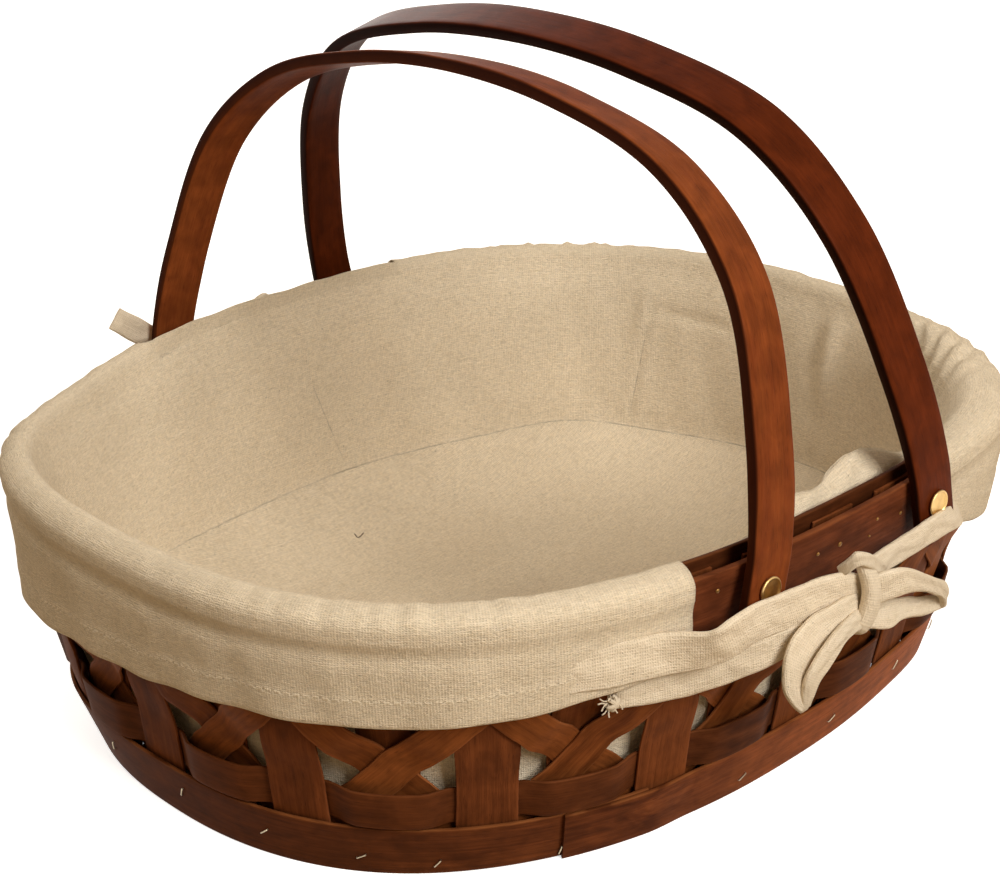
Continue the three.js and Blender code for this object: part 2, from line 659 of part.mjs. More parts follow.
// One pair of ties knotted into a bow across the gap between the cuffs, on the near side.
function bow() {
  const front = -STRAP_PLANE;
  const tall = [0, 0, STRAP_WIDTH];
  const cuffCorner = wallPoint(-CUFF_FIRST / RING_STEPS, KNOT_HEIGHT - 2, CUFF_OUTSIDE);
  const byKnot = (x, y, z) => [KNOT_X + x, front + y, KNOT_HEIGHT + z];
  const leftTie = strap(
    [
      [cuffCorner.x - 9, cuffCorner.y + 0.4, KNOT_HEIGHT - 2.5],
      [-PIVOT_X - 24.6, front + 1.2, KNOT_HEIGHT + 4],
      [-PIVOT_X + 9.4, front - 0.4, KNOT_HEIGHT + 5.5],
      byKnot(0, -1, 0),
    ],
    [[0, 0, 14], [0, 0, 13.5], [0, 0, 13], tall],
    STRAP_THICKNESS,
  );
  const rightTie = strap(
    [
      [-cuffCorner.x + 9, cuffCorner.y + 0.4, KNOT_HEIGHT - 2.5],
      [PIVOT_X + 24.6, front + 1.2, KNOT_HEIGHT + 4.5],
      [PIVOT_X - 14.4, front - 0.4, KNOT_HEIGHT + 9],
      byKnot(0, -1, 2),
    ],
    [[0, 0, 13], [0, 0, 12.5], [0, 0, 12], tall],
    STRAP_THICKNESS,
  );
  const rightLoop = strap(
    [
      byKnot(0, -3.2, 0),
      byKnot(18, -5.5, 2),
      byKnot(39, -6.5, -5),
      byKnot(51, -5, -15),
      byKnot(47, -3.4, -23.5),
      byKnot(29, -2.8, -22),
      byKnot(0, -1.2, -6),
    ],
    Array(7).fill([0, STRAP_WIDTH * 0.75, STRAP_WIDTH * 0.35]),
    STRAP_THICKNESS,
  );
  const hangingLoop = strap(
    [
      byKnot(0, -3, 0),
      byKnot(-16, -3.6, -11),
      byKnot(-26, -4, -24),
      byKnot(-34, -4.4, -35),
      byKnot(-41, -4, -30),
      byKnot(-44, -3.4, -16),
      byKnot(-27, -2.6, -2.5),
      byKnot(0, -1.4, 4),
    ],
    Array(8).fill([STRAP_WIDTH * 0.35, STRAP_WIDTH * 0.75, 0]),
    STRAP_THICKNESS,
  );
  const knotRing = (y, size) =>
    Array.from({ length: 12 }, (_, i) => {
      const angle = (Math.PI * i) / 6;
      return new THREE.Vector3(KNOT_X + size * 0.62 * Math.cos(angle), y, KNOT_HEIGHT + size * Math.sin(angle));
    });
  const knot = stackedRings(
    new THREE.Vector3(KNOT_X, front + 1, KNOT_HEIGHT),
    [knotRing(front + 0.6, 7), knotRing(front - 2.5, 12), knotRing(front - 5, 10)],
    new THREE.Vector3(KNOT_X, front - 6, KNOT_HEIGHT),
  );
  return [leftTie, rightTie, rightLoop, hangingLoop, knot];
}

const halfTurn = new THREE.Matrix4().makeRotationZ(Math.PI);
const farBow = bow().map((geometry) => geometry.applyMatrix4(halfTurn));
const clothPieces = [
  clothCuff(CUFF_FIRST, CUFF_LAST),
  clothCuff(CUFF_FIRST + RING_STEPS / 2, CUFF_LAST + RING_STEPS / 2),
  ...bow(),
  ...farBow,
];
const liner = clothPieces.reduce((whole, piece) => whole.add(manifoldOf(piece)), manifoldOf(clothBasin()));
addPiece('liner', geometryFrom(liner), LINEN);

export default basket;
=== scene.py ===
import math

import bpy
import numpy as np
from mathutils import Matrix, Vector


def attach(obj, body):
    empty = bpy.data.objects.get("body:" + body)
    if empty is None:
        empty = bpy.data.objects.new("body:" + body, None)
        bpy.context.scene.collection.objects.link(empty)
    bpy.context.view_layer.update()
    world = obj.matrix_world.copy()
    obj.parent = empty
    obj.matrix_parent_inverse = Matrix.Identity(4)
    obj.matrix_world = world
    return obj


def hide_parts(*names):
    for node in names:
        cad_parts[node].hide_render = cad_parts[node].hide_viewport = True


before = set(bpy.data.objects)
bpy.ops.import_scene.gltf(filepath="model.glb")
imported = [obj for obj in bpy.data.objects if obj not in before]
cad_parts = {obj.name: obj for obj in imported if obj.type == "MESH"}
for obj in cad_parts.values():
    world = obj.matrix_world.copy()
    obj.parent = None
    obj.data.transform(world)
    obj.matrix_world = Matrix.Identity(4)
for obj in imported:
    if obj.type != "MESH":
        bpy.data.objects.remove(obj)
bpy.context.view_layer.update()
scene = bpy.context.scene

# ---- Camera ----
# A normal lens about 0.9 m away, 44 degrees round from the near long side and 25 degrees up,
# looking at the middle of the basket. Lengths in this file are metres.
CAMERA_TURN, CAMERA_RISE, CAMERA_ROLL = math.radians(-43.84), math.radians(25.17), math.radians(-1.18)
CAMERA_TARGET, CAMERA_DISTANCE = Vector((0, 0, 0.060)), 0.9057
FOCAL_PIXELS, IMAGE_WIDTH, IMAGE_HEIGHT = 2042, 1000, 875
AXIS_PIXEL = (517.0, 519.2)

back = Vector((
    math.sin(CAMERA_TURN) * math.cos(CAMERA_RISE),
    -math.cos(CAMERA_TURN) * math.cos(CAMERA_RISE),
    math.sin(CAMERA_RISE),
))
level = Vector((math.cos(CAMERA_TURN), math.sin(CAMERA_TURN), 0))
right = math.cos(CAMERA_ROLL) * level + math.sin(CAMERA_ROLL) * back.cross(level)
upward = back.cross(right)
camera_data = bpy.data.cameras.new("camera")
camera_data.sensor_width = 36
camera_data.lens = camera_data.sensor_width * FOCAL_PIXELS / IMAGE_WIDTH
camera_data.shift_x = (IMAGE_WIDTH / 2 - AXIS_PIXEL[0]) / IMAGE_WIDTH
camera_data.shift_y = (AXIS_PIXEL[1] - IMAGE_HEIGHT / 2) / IMAGE_WIDTH
camera_data.clip_start = 0.01
camera = bpy.data.objects.new("camera", camera_data)
scene.collection.objects.link(camera)
camera.matrix_world = Matrix.Translation(CAMERA_TARGET + back * CAMERA_DISTANCE) @ Matrix(
    (right, upward, back)).transposed().to_4x4()
scene.camera = camera
scene.view_settings.view_transform = "Standard"


# ---- Studio ----
# A pale paper floor, an even white room and three soft lamps: the key to the right of the camera, one
# overhead and a low one behind. A white surface that faces the key lamp comes out just below white.
def linear(hex_colour):
    """Linear colour with alpha 1 of an sRGB hex colour: each channel through the sRGB curve."""
    channels = [int(hex_colour[i:i + 2], 16) / 255 for i in (1, 3, 5)]
    return tuple(c / 12.92 if c <= 0.04045 else ((c + 0.055) / 1.055) ** 2.4 for c in channels) + (1,)


def node(owner, kind, inputs=(), out=0, **settings):
    """Adds a shader node and gives one of its outputs. inputs holds an output socket or a constant for each
    input, by name or number, or in order from the first."""
    added = owner.node_tree.nodes.new("ShaderNode" + kind)
    for setting, value in settings.items():
        setattr(added, setting, value)
    for socket, value in inputs.items() if isinstance(inputs, dict) else enumerate(inputs):
        if isinstance(value, bpy.types.NodeSocket):
            owner.node_tree.links.new(value, added.inputs[socket])
        else:
            added.inputs[socket].default_value = value
    return added.outputs[out] if len(added.outputs) else None


def blank(owner):
    """Empties the node tree of a new material or world."""
    owner.use_nodes = True
    owner.node_tree.nodes.clear()
    return owner


def to_the_eye(owner):
    """1 for what the camera sees, straight or mirrored in a glossy surface; 0 for light on its way elsewhere."""
    return node(owner, "Math", [node(owner, "LightPath", out=f"Is {ray} Ray") for ray in ("Camera", "Glossy")],
                operation="MAXIMUM")


HORIZON_LIGHT, ZENITH_LIGHT, ROOM_WHITE = 0.16, 0.36, 1.0
room = blank(bpy.data.worlds.new("white_room"))
height = node(room, "SeparateXYZ", [node(room, "TexCoord", out="Generated")], "Z")
ceiling = node(room, "MapRange", (height, 0, 1, HORIZON_LIGHT, ZENITH_LIGHT))
dim = node(room, "Background", (linear("#ffdfb6"), ceiling))
bright = node(room, "Background", (linear("#ffffff"), ROOM_WHITE))
node(room, "OutputWorld", [node(room, "MixShader", (to_the_eye(room), dim, bright))])
scene.world = room

# Matt paper. It is grey to the lamps' light; to the camera it is white beside the basket and dark under it.
PAPER_GLOW, FOOT_HALF_LENGTH, FOOT_HALF_WIDTH = 0.7, 0.193, 0.154
paper = blank(bpy.data.materials.new("matt_white_paper"))
place = node(paper, "Mapping", {"Vector": node(paper, "TexCoord", out="Object"),
                                "Scale": (1 / FOOT_HALF_LENGTH, 1 / FOOT_HALF_WIDTH, 0)})
outward = node(paper, "VectorMath", [place], "Value", operation="LENGTH")
glow = node(paper, "Emission", (linear("#ffffff"), node(paper, "MapRange", (outward, 0.93, 1.0, 0, PAPER_GLOW))))
white_paper = node(paper, "AddShader", (node(paper, "BsdfDiffuse", [linear("#f6f6f6")]), glow))
grey_paper = node(paper, "BsdfDiffuse", [linear("#aa987e")])
node(paper, "OutputMaterial", [node(paper, "MixShader", (to_the_eye(paper), grey_paper, white_paper))])
FLOOR_REACH, FLOOR_DROP = 6.0, 0.0004
floor_mesh = bpy.data.meshes.new("floor")
floor_mesh.from_pydata(
    [(x * FLOOR_REACH, y * FLOOR_REACH, -FLOOR_DROP) for x, y in ((-1, -1), (1, -1), (1, 1), (-1, 1))],
    [], [(0, 1, 2, 3)])
floor_mesh.materials.append(paper)
floor = bpy.data.objects.new("floor", floor_mesh)
scene.collection.objects.link(floor)


def lamp(name, towards, distance, size, power, colour):
    """Square area lamp in a direction from the basket, turned to face it."""
    data = bpy.data.lights.new(name, "AREA")
    data.size, data.energy, data.color = size, power, linear(colour)[:3]
    place = bpy.data.objects.new(name, data)
    direction = Vector(towards).normalized()
    place.location = CAMERA_TARGET + direction * distance
    place.rotation_mode = "QUATERNION"
    place.rotation_quaternion = direction.to_track_quat("Z", "Y")
    scene.collection.objects.link(place)


lamp("key_lamp", (-0.08, -0.80, 0.55), 1.9, 0.8, 31, "#fffaf2")
lamp("top_lamp", (-0.35, 0.30, 1.00), 1.9, 1.4, 12, "#fffaf2")
lamp("back_lamp", (0.40, 0.85, 0.22), 2.2, 1.4, 16, "#fffaf2")


# ---- Shape of the wall ----
# An oval that grows from base to rim. Every strip and the cloth are placed on it by three numbers:
# share of a turn from the middle of the near side, height, and depth outwards.
MM = 0.001
BASE_OVAL = np.array([0.1929, 0.1537, 2.35])
RIM_OVAL = np.array([0.2050, 0.1730, 2.64])
RIM_HEIGHT, FLARE = 0.1246, 0.772
STATIONS = 32
levels = np.linspace(0, 0.15, 61)
shares = np.linspace(0, 1, 1441)


def smooth(pairs, x):
    """Value at x of the monotone cubic through (x, value) pairs; it is level at every turning point."""
    px, py = np.array(pairs, float).T
    rise = np.diff(py) / np.diff(px)
    slope = np.zeros(len(px))
    same = rise[:-1] * rise[1:] > 0
    slope[1:-1][same] = (2 * rise[:-1] * rise[1:])[same] / (rise[:-1] + rise[1:])[same]
    x = np.asarray(x, float)
    i = np.clip(np.searchsorted(px, x) - 1, 0, len(px) - 2)
    step = px[i + 1] - px[i]
    t = np.clip((x - px[i]) / step, 0, 1)
    return ((1 + 2 * t) * (1 - t) ** 2 * py[i] + t * (1 - t) ** 2 * step * slope[i]
            + t * t * (3 - 2 * t) * py[i + 1] + t * t * (t - 1) * step * slope[i + 1])


# How far the wall at the far left stands off the oval, by height, in millimetres: its belly, and its top.
LEFT_BELLY = ((0, 0), (14, 3.0), (36, 5.0), (60, 3.5), (80, 1.0), (95, 0), (150, 0))
FAR_LEFT_LEAN = ((0, 0), (60, 0), (85, -0.5), (105, -2.5), (124, -5.5), (150, -7.0))


def near_turn(turn, centre, width):
    """Smooth bump of height 1 round the basket."""
    return np.exp(-((np.mod(turn - centre + 0.5, 1) - 0.5) / width) ** 2)


def off_oval(turn, z):
    """A hand-bent wall is not quite true: how far it stands outside the oval, and how far it sinks."""
    rise = z / RIM_HEIGHT
    right_end = near_turn(turn, 0.335, 0.07) + near_turn(turn, 0.205, 0.055)
    out = ((4.5 - 1.5 * rise) * near_turn(turn, 0.108, 0.030) - 3.5 * right_end * rise ** 1.5
           + near_turn(turn, 0.675, 0.04) * smooth(LEFT_BELLY, z / MM)
           + near_turn(turn, 0.61, 0.045) * smooth(FAR_LEFT_LEAN, z / MM))
    sink = (4.6 * near_turn(turn, 0.603, 0.05) + 2.5 * right_end) * rise ** 3
    return out * MM, sink * MM


def oval_at(z):
    """Half length, half width and exponent at height z: base to rim by (z / rim height) ** FLARE."""
    share = (np.maximum(z, 0) / RIM_HEIGHT) ** FLARE
    return BASE_OVAL + np.asarray(share)[..., None] * (RIM_OVAL - BASE_OVAL)


def oval_ring(z):
    """Points at even steps of length round the oval x = a sgn(c)|c|^(2/n), y = b sgn(s)|s|^(2/n), and its length."""
    a, b, n = oval_at(z)
    angle = np.linspace(-np.pi / 2, 1.5 * np.pi, 5761)
    c, s = np.cos(angle), np.sin(angle)
    x, y = a * np.sign(c) * np.abs(c) ** (2 / n), b * np.sign(s) * np.abs(s) ** (2 / n)
    length = np.concatenate([[0], np.cumsum(np.hypot(np.diff(x), np.diff(y)))])
    even = shares * length[-1]
    return np.interp(even, length, x), np.interp(even, length, y), length[-1]


rings = [oval_ring(z) for z in levels]
ring_x, ring_y = np.array([r[0] for r in rings]), np.array([r[1] for r in rings])
ring_length = np.array([r[2] for r in rings])


def round_length(z):
    """Distance once round the oval at height z."""
    return np.interp(z, levels, ring_length)


def wall(turn, z, depth):
    """Points on the wall: the ring tables read between their steps, then depth along the oval's own normal."""
    turn, z, depth = np.broadcast_arrays(*(np.asarray(v, float) for v in (turn, z, depth)))
    column = np.mod(turn, 1) * (len(shares) - 1)
    row = np.clip(z, 0, levels[-1]) / levels[1]
    i, j = np.minimum(row.astype(int), len(levels) - 2), np.minimum(column.astype(int), len(shares) - 2)
    p, q = row - i, column - j

    def read(table):
        return ((1 - p) * (1 - q) * table[i, j] + (1 - p) * q * table[i, j + 1]
                + p * (1 - q) * table[i + 1, j] + p * q * table[i + 1, j + 1])

    x, y = read(ring_x), read(ring_y)
    a, b, n = np.moveaxis(oval_at(z), -1, 0)
    nx = np.sign(x) * (np.abs(x) / a) ** (n - 1) / a
    ny = np.sign(y) * (np.abs(y) / b) ** (n - 1) / b
    size = np.hypot(nx, ny)
    out, sink = off_oval(turn, np.maximum(z, 0))
    depth = depth + out
    return np.stack([x + nx / size * depth, y + ny / size * depth, z - sink], -1)


# ---- Chipwood splints: the woven base and the 32 stakes ----
# Thin poplar veneer cut in strips, stained dark. Each splint crosses the base and bends up into a
# stake at both ends; every second stake runs behind the weaver and the crossed arms.
SPLINT_THICK, SPLINT_WIDE = 1.15 * MM, 24 * MM
FOOT = -2.825 * MM
BASE_MIDDLE, BASE_WEAVE, PLATEAU = 1.85 * MM, 0.8 * MM, 12.5 * MM
CROSSWISE_SPACING, LENGTHWISE_SPACING = 31 * MM, 29 * MM
chance = np.random.default_rng(7)


def waver(x, wavelength, seed):
    """Smooth random wave of height about 1: three sines of unrelated wavelengths with seeded phases."""
    phase = np.random.default_rng(seed).uniform(0, 2 * np.pi, 3)
    return sum(np.sin(2 * np.pi * np.asarray(x) / (wavelength * k) + p) / 2
               for k, p in zip((1, 0.618, 0.387), phase))


def round_waver(turn, waves, seed, shift=0.0):
    """The same closed round the basket: whole numbers of waves in a turn, moved along by a share of a wave."""
    phase = np.random.default_rng(seed).uniform(0, 2 * np.pi, 3)
    return sum(np.sin(2 * np.pi * (np.asarray(turn) * round(waves * k) + shift) + p) / 2
               for k, p in zip((1, 1.618, 2.584), phase))


def slab_outline(half_width, half_thickness, rounding, across):
    """Outline of a flat bar with quarter-round corners: distance across, distance through, distance round."""
    flat = np.linspace(-1, 1, across) * (half_width - rounding)
    turn = np.linspace(0, np.pi / 2, 4)[1:]
    side, top = half_width - rounding, half_thickness - rounding
    s = np.concatenate([flat, side + rounding * np.sin(turn), (side + rounding * np.cos(turn))[:-1],
                        flat[::-1], -side - rounding * np.sin(turn), (-side - rounding * np.cos(turn))[:-1]])
    h = np.concatenate([np.full(across, half_thickness), top + rounding * np.cos(turn),
                        (-top - rounding * np.sin(turn))[:-1], np.full(across, -half_thickness),
                        -top - rounding * np.cos(turn), (top + rounding * np.sin(turn))[:-1]])
    around = np.concatenate([[0], np.cumsum(np.hypot(np.diff(np.append(s, s[0])), np.diff(np.append(h, h[0]))))])
    return s, h, around


def thickened(surface, u, s, h):
    """Surface points moved by h along the surface's normal, the cross product of its two directions."""
    nudge = 0.2 * MM
    middle = surface(u, s)
    lengthwise = np.gradient(middle, axis=0)
    crosswise = surface(u, s + nudge) - surface(u, s - nudge)
    normal = np.cross(lengthwise, crosswise)
    return middle + h[..., None] * normal / np.linalg.norm(normal, axis=-1, keepdims=True)


def path_length(points):
    """Distance from the first row along the middle column of a grid of points."""
    middle = points[:, points.shape[1] // 4]
    return np.concatenate([[0], np.cumsum(np.linalg.norm(np.diff(middle, axis=0), axis=1))])


def new_object(name, mesh, material, body):
    """Links a mesh as a piece with its material, riding on a CAD body."""
    mesh.materials.append(material)
    piece = bpy.data.objects.new(name, mesh)
    scene.collection.objects.link(piece)
    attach(piece, body)
    return piece


def closed_skins(name, grids, sharp):
    """Mesh of one or more closed skins. Each grid holds rows of outlines: quads between rows, one face at each
    end. Edges past the sharp angle in degrees stay sharp."""
    faces, first = [], 0
    for rows, columns in (grid.shape[:2] for grid in grids):
        i, j = np.meshgrid(np.arange(rows - 1), np.arange(columns), indexing="ij")
        k = (j + 1) % columns
        quads = np.stack([i * columns + j, (i + 1) * columns + j, (i + 1) * columns + k, i * columns + k], -1)
        last_row = range(first + (rows - 1) * columns, first + rows * columns)
        faces += (quads.reshape(-1, 4) + first).tolist() + [list(range(first, first + columns)), list(last_row)[::-1]]
        first += rows * columns
    mesh = bpy.data.meshes.new(name)
    mesh.from_pydata(np.concatenate([grid.reshape(-1, 3) for grid in grids]).tolist(), [], faces)
    mesh.polygons.foreach_set("use_smooth", np.ones(len(faces), bool))
    mesh.set_sharp_from_angle(angle=math.radians(sharp))
    return mesh


def bar(name, points, around, edge, material, body, shift, uv_name="strip"):
    """Closed skin of one bar, with its UV along and round it in metres, moved by a shift."""
    rows, columns = points.shape[:2]
    mesh = closed_skins(name, [points], 55)
    i, j = np.meshgrid(np.arange(rows - 1), np.arange(columns), indexing="ij")
    lengths = path_length(points)
    row = np.stack([i, i + 1, i + 1, i], -1).ravel()
    column = np.stack([j, j, j + 1, j + 1], -1).ravel()
    body_uv = np.stack([lengths[row], around[column]], -1)
    first = np.stack([np.zeros(columns), around[:-1]], -1)
    last = np.stack([np.full(columns, lengths[-1]), around[:-1][::-1]], -1)
    uv = np.concatenate([body_uv, first, last]) + shift
    mesh.uv_layers.new(name=uv_name).data.foreach_set("uv", uv.astype(np.float32).ravel())
    mesh.attributes.new("edge", "FLOAT", "POINT").data.foreach_set(
        "value", np.broadcast_to(edge, (rows, columns)).astype(np.float32).ravel())
    return new_object(name, mesh, material, body)


def veneer(name, surface, u, width, material, thickness=SPLINT_THICK, waviness=0.35 * MM, seed=0, across=7):
    """A strip of veneer on a surface: its width and its place waver a little along its length, as cut strips do."""
    s, h, around = slab_outline(width / 2, thickness / 2, min(0.35 * MM, thickness * 0.3), across)
    run = np.linspace(0, 1, len(u))[:, None] * 6
    wide = 1 + 0.016 * waver(run, 1.3, seed)
    drift = waviness * waver(run, 2.1, seed + 1)
    cup = 0.10 * MM * waver(run, 3.1, seed + 2) * (1 - (s / (width / 2)) ** 2)
    points = thickened(surface, u[:, None], s * wide + drift, h + cup)
    edge = np.abs(s) / (width / 2)
    return bar(name, points, around, edge, material, "root", chance.uniform(0, 40, 2))


def stained_wood(name, shadow, body, glow, rim, rim_start, wear, roughness, figure, ends=(1, 1)):
    """Stained straight-grained wood. Colour: soft blotches where the stain took unevenly, long grain lines of
    strength figure, dark pores, and the cut edges in their own tone, broken up by wear; on the handles that edge
    tone is painted shade on the narrow sides. ends scales the colour at the left and right end of the basket,
    which is painted light and shade. UV runs along and across the grain in metres."""
    m = blank(bpy.data.materials.new(name))
    uv = node(m, "UVMap", out="UV", uv_map="strip")
    blotch, patch, tone, grain, fine, pores = (
        node(m, "TexNoise", {
            "Vector": node(m, "Mapping", {"Vector": uv, "Scale": (1 / (along * MM), 1 / (across * MM), 1)}),
            "Scale": 1.0, "Detail": detail, "Roughness": rough, "Distortion": twist})
        for along, across, detail, rough, twist in (
            (34, 9, 3, 0.6, 0.8), (11, 8, 2, 0.5, 0.5), (260, 260, 1, 0.6, 0), (60, 1.7, 4, 0.65, 0.3),
            (14, 0.4, 3, 0.7, 0), (5, 0.35, 1, 0.5, 0)))
    base = node(m, "Mix", {0: node(m, "MapRange", (blotch, 0.34, 0.66, 0, 1)), 6: linear(shadow), 7: linear(body)},
                2, data_type="RGBA")
    toned = node(m, "Mix", {0: node(m, "MapRange", (tone, 0.38, 0.68, 0, 0.8)), 6: base, 7: linear(glow)},
                 2, data_type="RGBA")
    # Left to right across the basket; ends scales the colour along it: painted shade at the left, painted light at
    # the right.
    along = node(m, "SeparateXYZ", [node(m, "TexCoord", out="Object")])
    shade = 1.0
    for spread in ((grain, 0.36, 0.64, 1 - figure, 1 + 0.5 * figure), (fine, 0.3, 0.7, 0.88, 1.1),
                   (patch, 0.32, 0.68, 0.8, 1.16), (along, -0.17, 0.05, *ends)):
        shade = node(m, "Math", (shade, node(m, "MapRange", spread)), operation="MULTIPLY")
    dash = node(m, "MapRange", (pores, 0.62, 0.74, 1, 0.6))
    shade = node(m, "Math", (shade, dash), operation="MULTIPLY")
    grained = node(m, "VectorMath", {0: toned, "Scale": shade}, operation="SCALE")
    at_edge = node(m, "MapRange", (node(m, "Attribute", out="Fac", attribute_name="edge"), rim_start, 1, 0, 1))
    # Edge tone: rubbed wear on the veneers, painted shade on the handles' narrow sides.
    edge_wear_and_shade = node(m, "Math", (at_edge, node(m, "MapRange", (blotch, 0.40, 0.60, 1 - wear, 1))), operation="MULTIPLY")
    colour = node(m, "Mix", {0: edge_wear_and_shade, 6: grained, 7: linear(rim)}, 2, data_type="RGBA")
    relief = node(m, "Math", (node(m, "Math", (grain, fine), operation="ADD"), dash), operation="ADD")
    skin = node(m, "BsdfPrincipled", {
        "Base Color": colour, "IOR": 1.5, "Specular IOR Level": 0.02,
        "Roughness": node(m, "MapRange", (fine, 0, 1, roughness - 0.07, roughness + 0.12)),
        "Normal": node(m, "Bump", {"Height": relief, "Strength": 0.4, "Distance": 0.12 * MM})})
    node(m, "OutputMaterial", [skin])
    return m


# Poplar veneer, rotary cut and dipped in a dark walnut stain: dull, with fine dark grain lines.
stained_veneer = stained_wood("walnut_stained_poplar_veneer", "#42200f", "#6b3a1e", "#7d4524", "#80492a",
                              0.90, 0.9, 0.55, 0.2)
# Depth of the outer and inner stakes by height.
OUTER_STAKE = np.array([(5.5, -2.825), (23, -2.825), (42, -2.825), (60, -0.6), (118, -0.6)]) * MM
INNER_STAKE = np.array([(5.5, -2.825), (9, -3.125), (22, -7.325), (60, -7.325), (78, -2.8), (92, -0.6),
                        (118, -0.6)]) * MM
BEND = 4.15 * MM
STAKE_ROWS, BEND_ROWS, SLOPE_ROWS, FLOOR_ROWS = 46, 6, 14, 84


def stake_points(station, side, s):
    """A stake from its top down to the base: heights by even steps, then a quarter round of radius BEND.
    s is the distance beside the station, first row at the top."""
    heights = np.linspace(118 * MM, BASE_MIDDLE + BEND, STAKE_ROWS)
    angle = np.linspace(0, np.pi / 2, BEND_ROWS + 1)[1:]
    path = OUTER_STAKE if station % 2 == 0 else INNER_STAKE
    z = np.concatenate([heights, BASE_MIDDLE + BEND * (1 - np.sin(angle))])[:, None]
    depth = np.concatenate([smooth(path, heights), FOOT - BEND * (1 - np.cos(angle))])[:, None]
    return wall(station / STATIONS + side * s / round_length(z), z, depth)


def splint_surface(number, crosswise):
    """One splint, stake to stake: stake rows, rows sloping to the woven floor, floor rows whose height swings
    over and under the splints that cross them, and the same up the other side."""
    stations = (number, STATIONS // 2 - number) if crosswise else (-8 - number, 8 + number)
    reach, spacing = (3, LENGTHWISE_SPACING) if crosswise else (4, CROSSWISE_SPACING)
    offset = number * (CROSSWISE_SPACING if crosswise else LENGTHWISE_SPACING)
    levels_crossed = []
    for other in range(-reach, reach + 1):
        raised = BASE_WEAVE if ((number + other) % 2 == 0) == crosswise else -BASE_WEAVE
        levels_crossed += [(other * spacing - PLATEAU, BASE_MIDDLE + raised),
                           (other * spacing + PLATEAU, BASE_MIDDLE + raised)]
    half = reach * spacing + PLATEAU
    line = np.linspace(-half, half, FLOOR_ROWS)[:, None]

    def surface(u, s):
        upper = STAKE_ROWS + BEND_ROWS
        first = stake_points(stations[0], 1, s[:upper])
        last = stake_points(stations[1], -1, s[-upper:][::-1])[::-1]
        beside = s[upper + SLOPE_ROWS:-upper - SLOPE_ROWS]
        run, rise = line + 0 * beside, smooth(levels_crossed, line) + 0 * beside
        floor_rows = np.stack([offset + beside, run, rise] if crosswise else [run, offset - beside, rise], -1)
        share = np.linspace(0, 1, SLOPE_ROWS + 2)[1:-1, None, None]
        down = first[-1] + share * (floor_rows[0] - first[-1])
        up = floor_rows[-1] + share * (last[0] - floor_rows[-1])
        return np.concatenate([first, down, floor_rows, up, last])

    return surface


SPLINT_U = np.arange(2 * (STAKE_ROWS + BEND_ROWS + SLOPE_ROWS) + FLOOR_ROWS)
for kind, reach in (("crosswise", 4), ("lengthwise", 3)):
    for number in range(-reach, reach + 1):
        node_name = f"splint_{kind}_{number + reach + 1}"
        piece = veneer(f"stained_{node_name}", splint_surface(number, kind == "crosswise"), SPLINT_U,
                       SPLINT_WIDE, stained_veneer, seed=100 + 10 * number + reach)
        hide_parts(node_name)

# ---- Crossed arms ----
# Two narrow strips in each of the 16 bays, crossed in front of the inner stake. Their feet are caught
# behind the weaver and their tips between the rim bands.
ARM_WIDE, ARM_CROSSING, ARM_FOOT, ARM_TIP = 15.5 * MM, 47 * MM, -38 * MM, 72 * MM
# Depth of the arms by distance along them from where they cross.
UNDER_ARM = np.array([(-38, -5.825), (8, -5.825), (17, -2.46), (26, 0.9), (72, 0.9)]) * MM
OVER_ARM = np.array([(-38, -5.825), (-25, -5.825), (-9, -4.325), (9, -4.325), (26, 0.9), (38, 2.7), (72, 2.7)]) * MM
# The same veneer cut narrower; it took the stain a little lighter.
arm_veneer = stained_wood("walnut_stained_arm_veneer", "#4c240f", "#784220", "#8c5028", "#8c5430",
                          0.90, 0.9, 0.52, 0.2)


def arm_surface(bay, lean):
    """Strip at 45 degrees: along it by u, across it by s, both split evenly between round the wall and up."""
    path = OVER_ARM if lean > 0 else UNDER_ARM

    def surface(u, s):
        w = -lean * s
        z = ARM_CROSSING + (u - w) / math.sqrt(2)
        return wall((2 * bay + 1) / STATIONS + lean * (u + w) / math.sqrt(2) / round_length(z), z, smooth(path, u))

    return surface


for bay in range(STATIONS // 2):
    for kind, lean in (("rising", 1), ("falling", -1)):
        node_name = f"arm_{kind}_{bay + 1:02d}"
        piece = veneer(f"crossed_{node_name}", arm_surface(bay, lean), np.linspace(ARM_FOOT, ARM_TIP, 46),
                       ARM_WIDE, arm_veneer, seed=500 + 20 * bay + lean)
        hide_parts(node_name)

# ---- Weaver, base band and rim bands ----
# Long strips bent round the wall. The weaver passes behind the outer stakes and in front of the inner
# ones; the base band laps over its own start; the two rim bands pinch the tops of stakes and arms.
# A ring step is a third of the way from one stake to the next.
ROWS_PER_TURN, RING_STEPS, BUTT_GAP = 330, 96, 0.0003
# Depth of the weaver in mm over six ring steps, which then repeats.
WEAVER_SWING = np.array([(0, -4.325), (1, -4.325), (2, 0.4), (3, 0.9), (4, 0.4), (5, -4.325), (6, -4.325)])
# The base band is coloured darker at its left end and lighter at its right: painted shade and painted light.
base_veneer_painted_light_and_shade = stained_wood("walnut_stained_base_band", "#4e2612", "#7b4324", "#8a4d2a", "#84502c",
                           0.92, 0.9, 0.5, 0.24, (0.52, 1.42))
# The weaver and the rim bands are coloured darker than the splints, the inner rim band darkest.
weaver_veneer = stained_wood("walnut_stained_weaver", "#33180b", "#57301a", "#64361b", "#6b3d22",
                             0.92, 0.9, 0.52, 0.2)
rim_veneer = stained_wood("walnut_stained_rim_band", "#3c1d0e", "#6a3820", "#773f24", "#7a4527",
                          0.94, 0.9, 0.48, 0.2)
inner_rim_veneer = stained_wood("dark_stained_rim_band", "#2e1609", "#4c2713", "#562d17", "#5e351c",
                                0.94, 0.9, 0.5, 0.2)


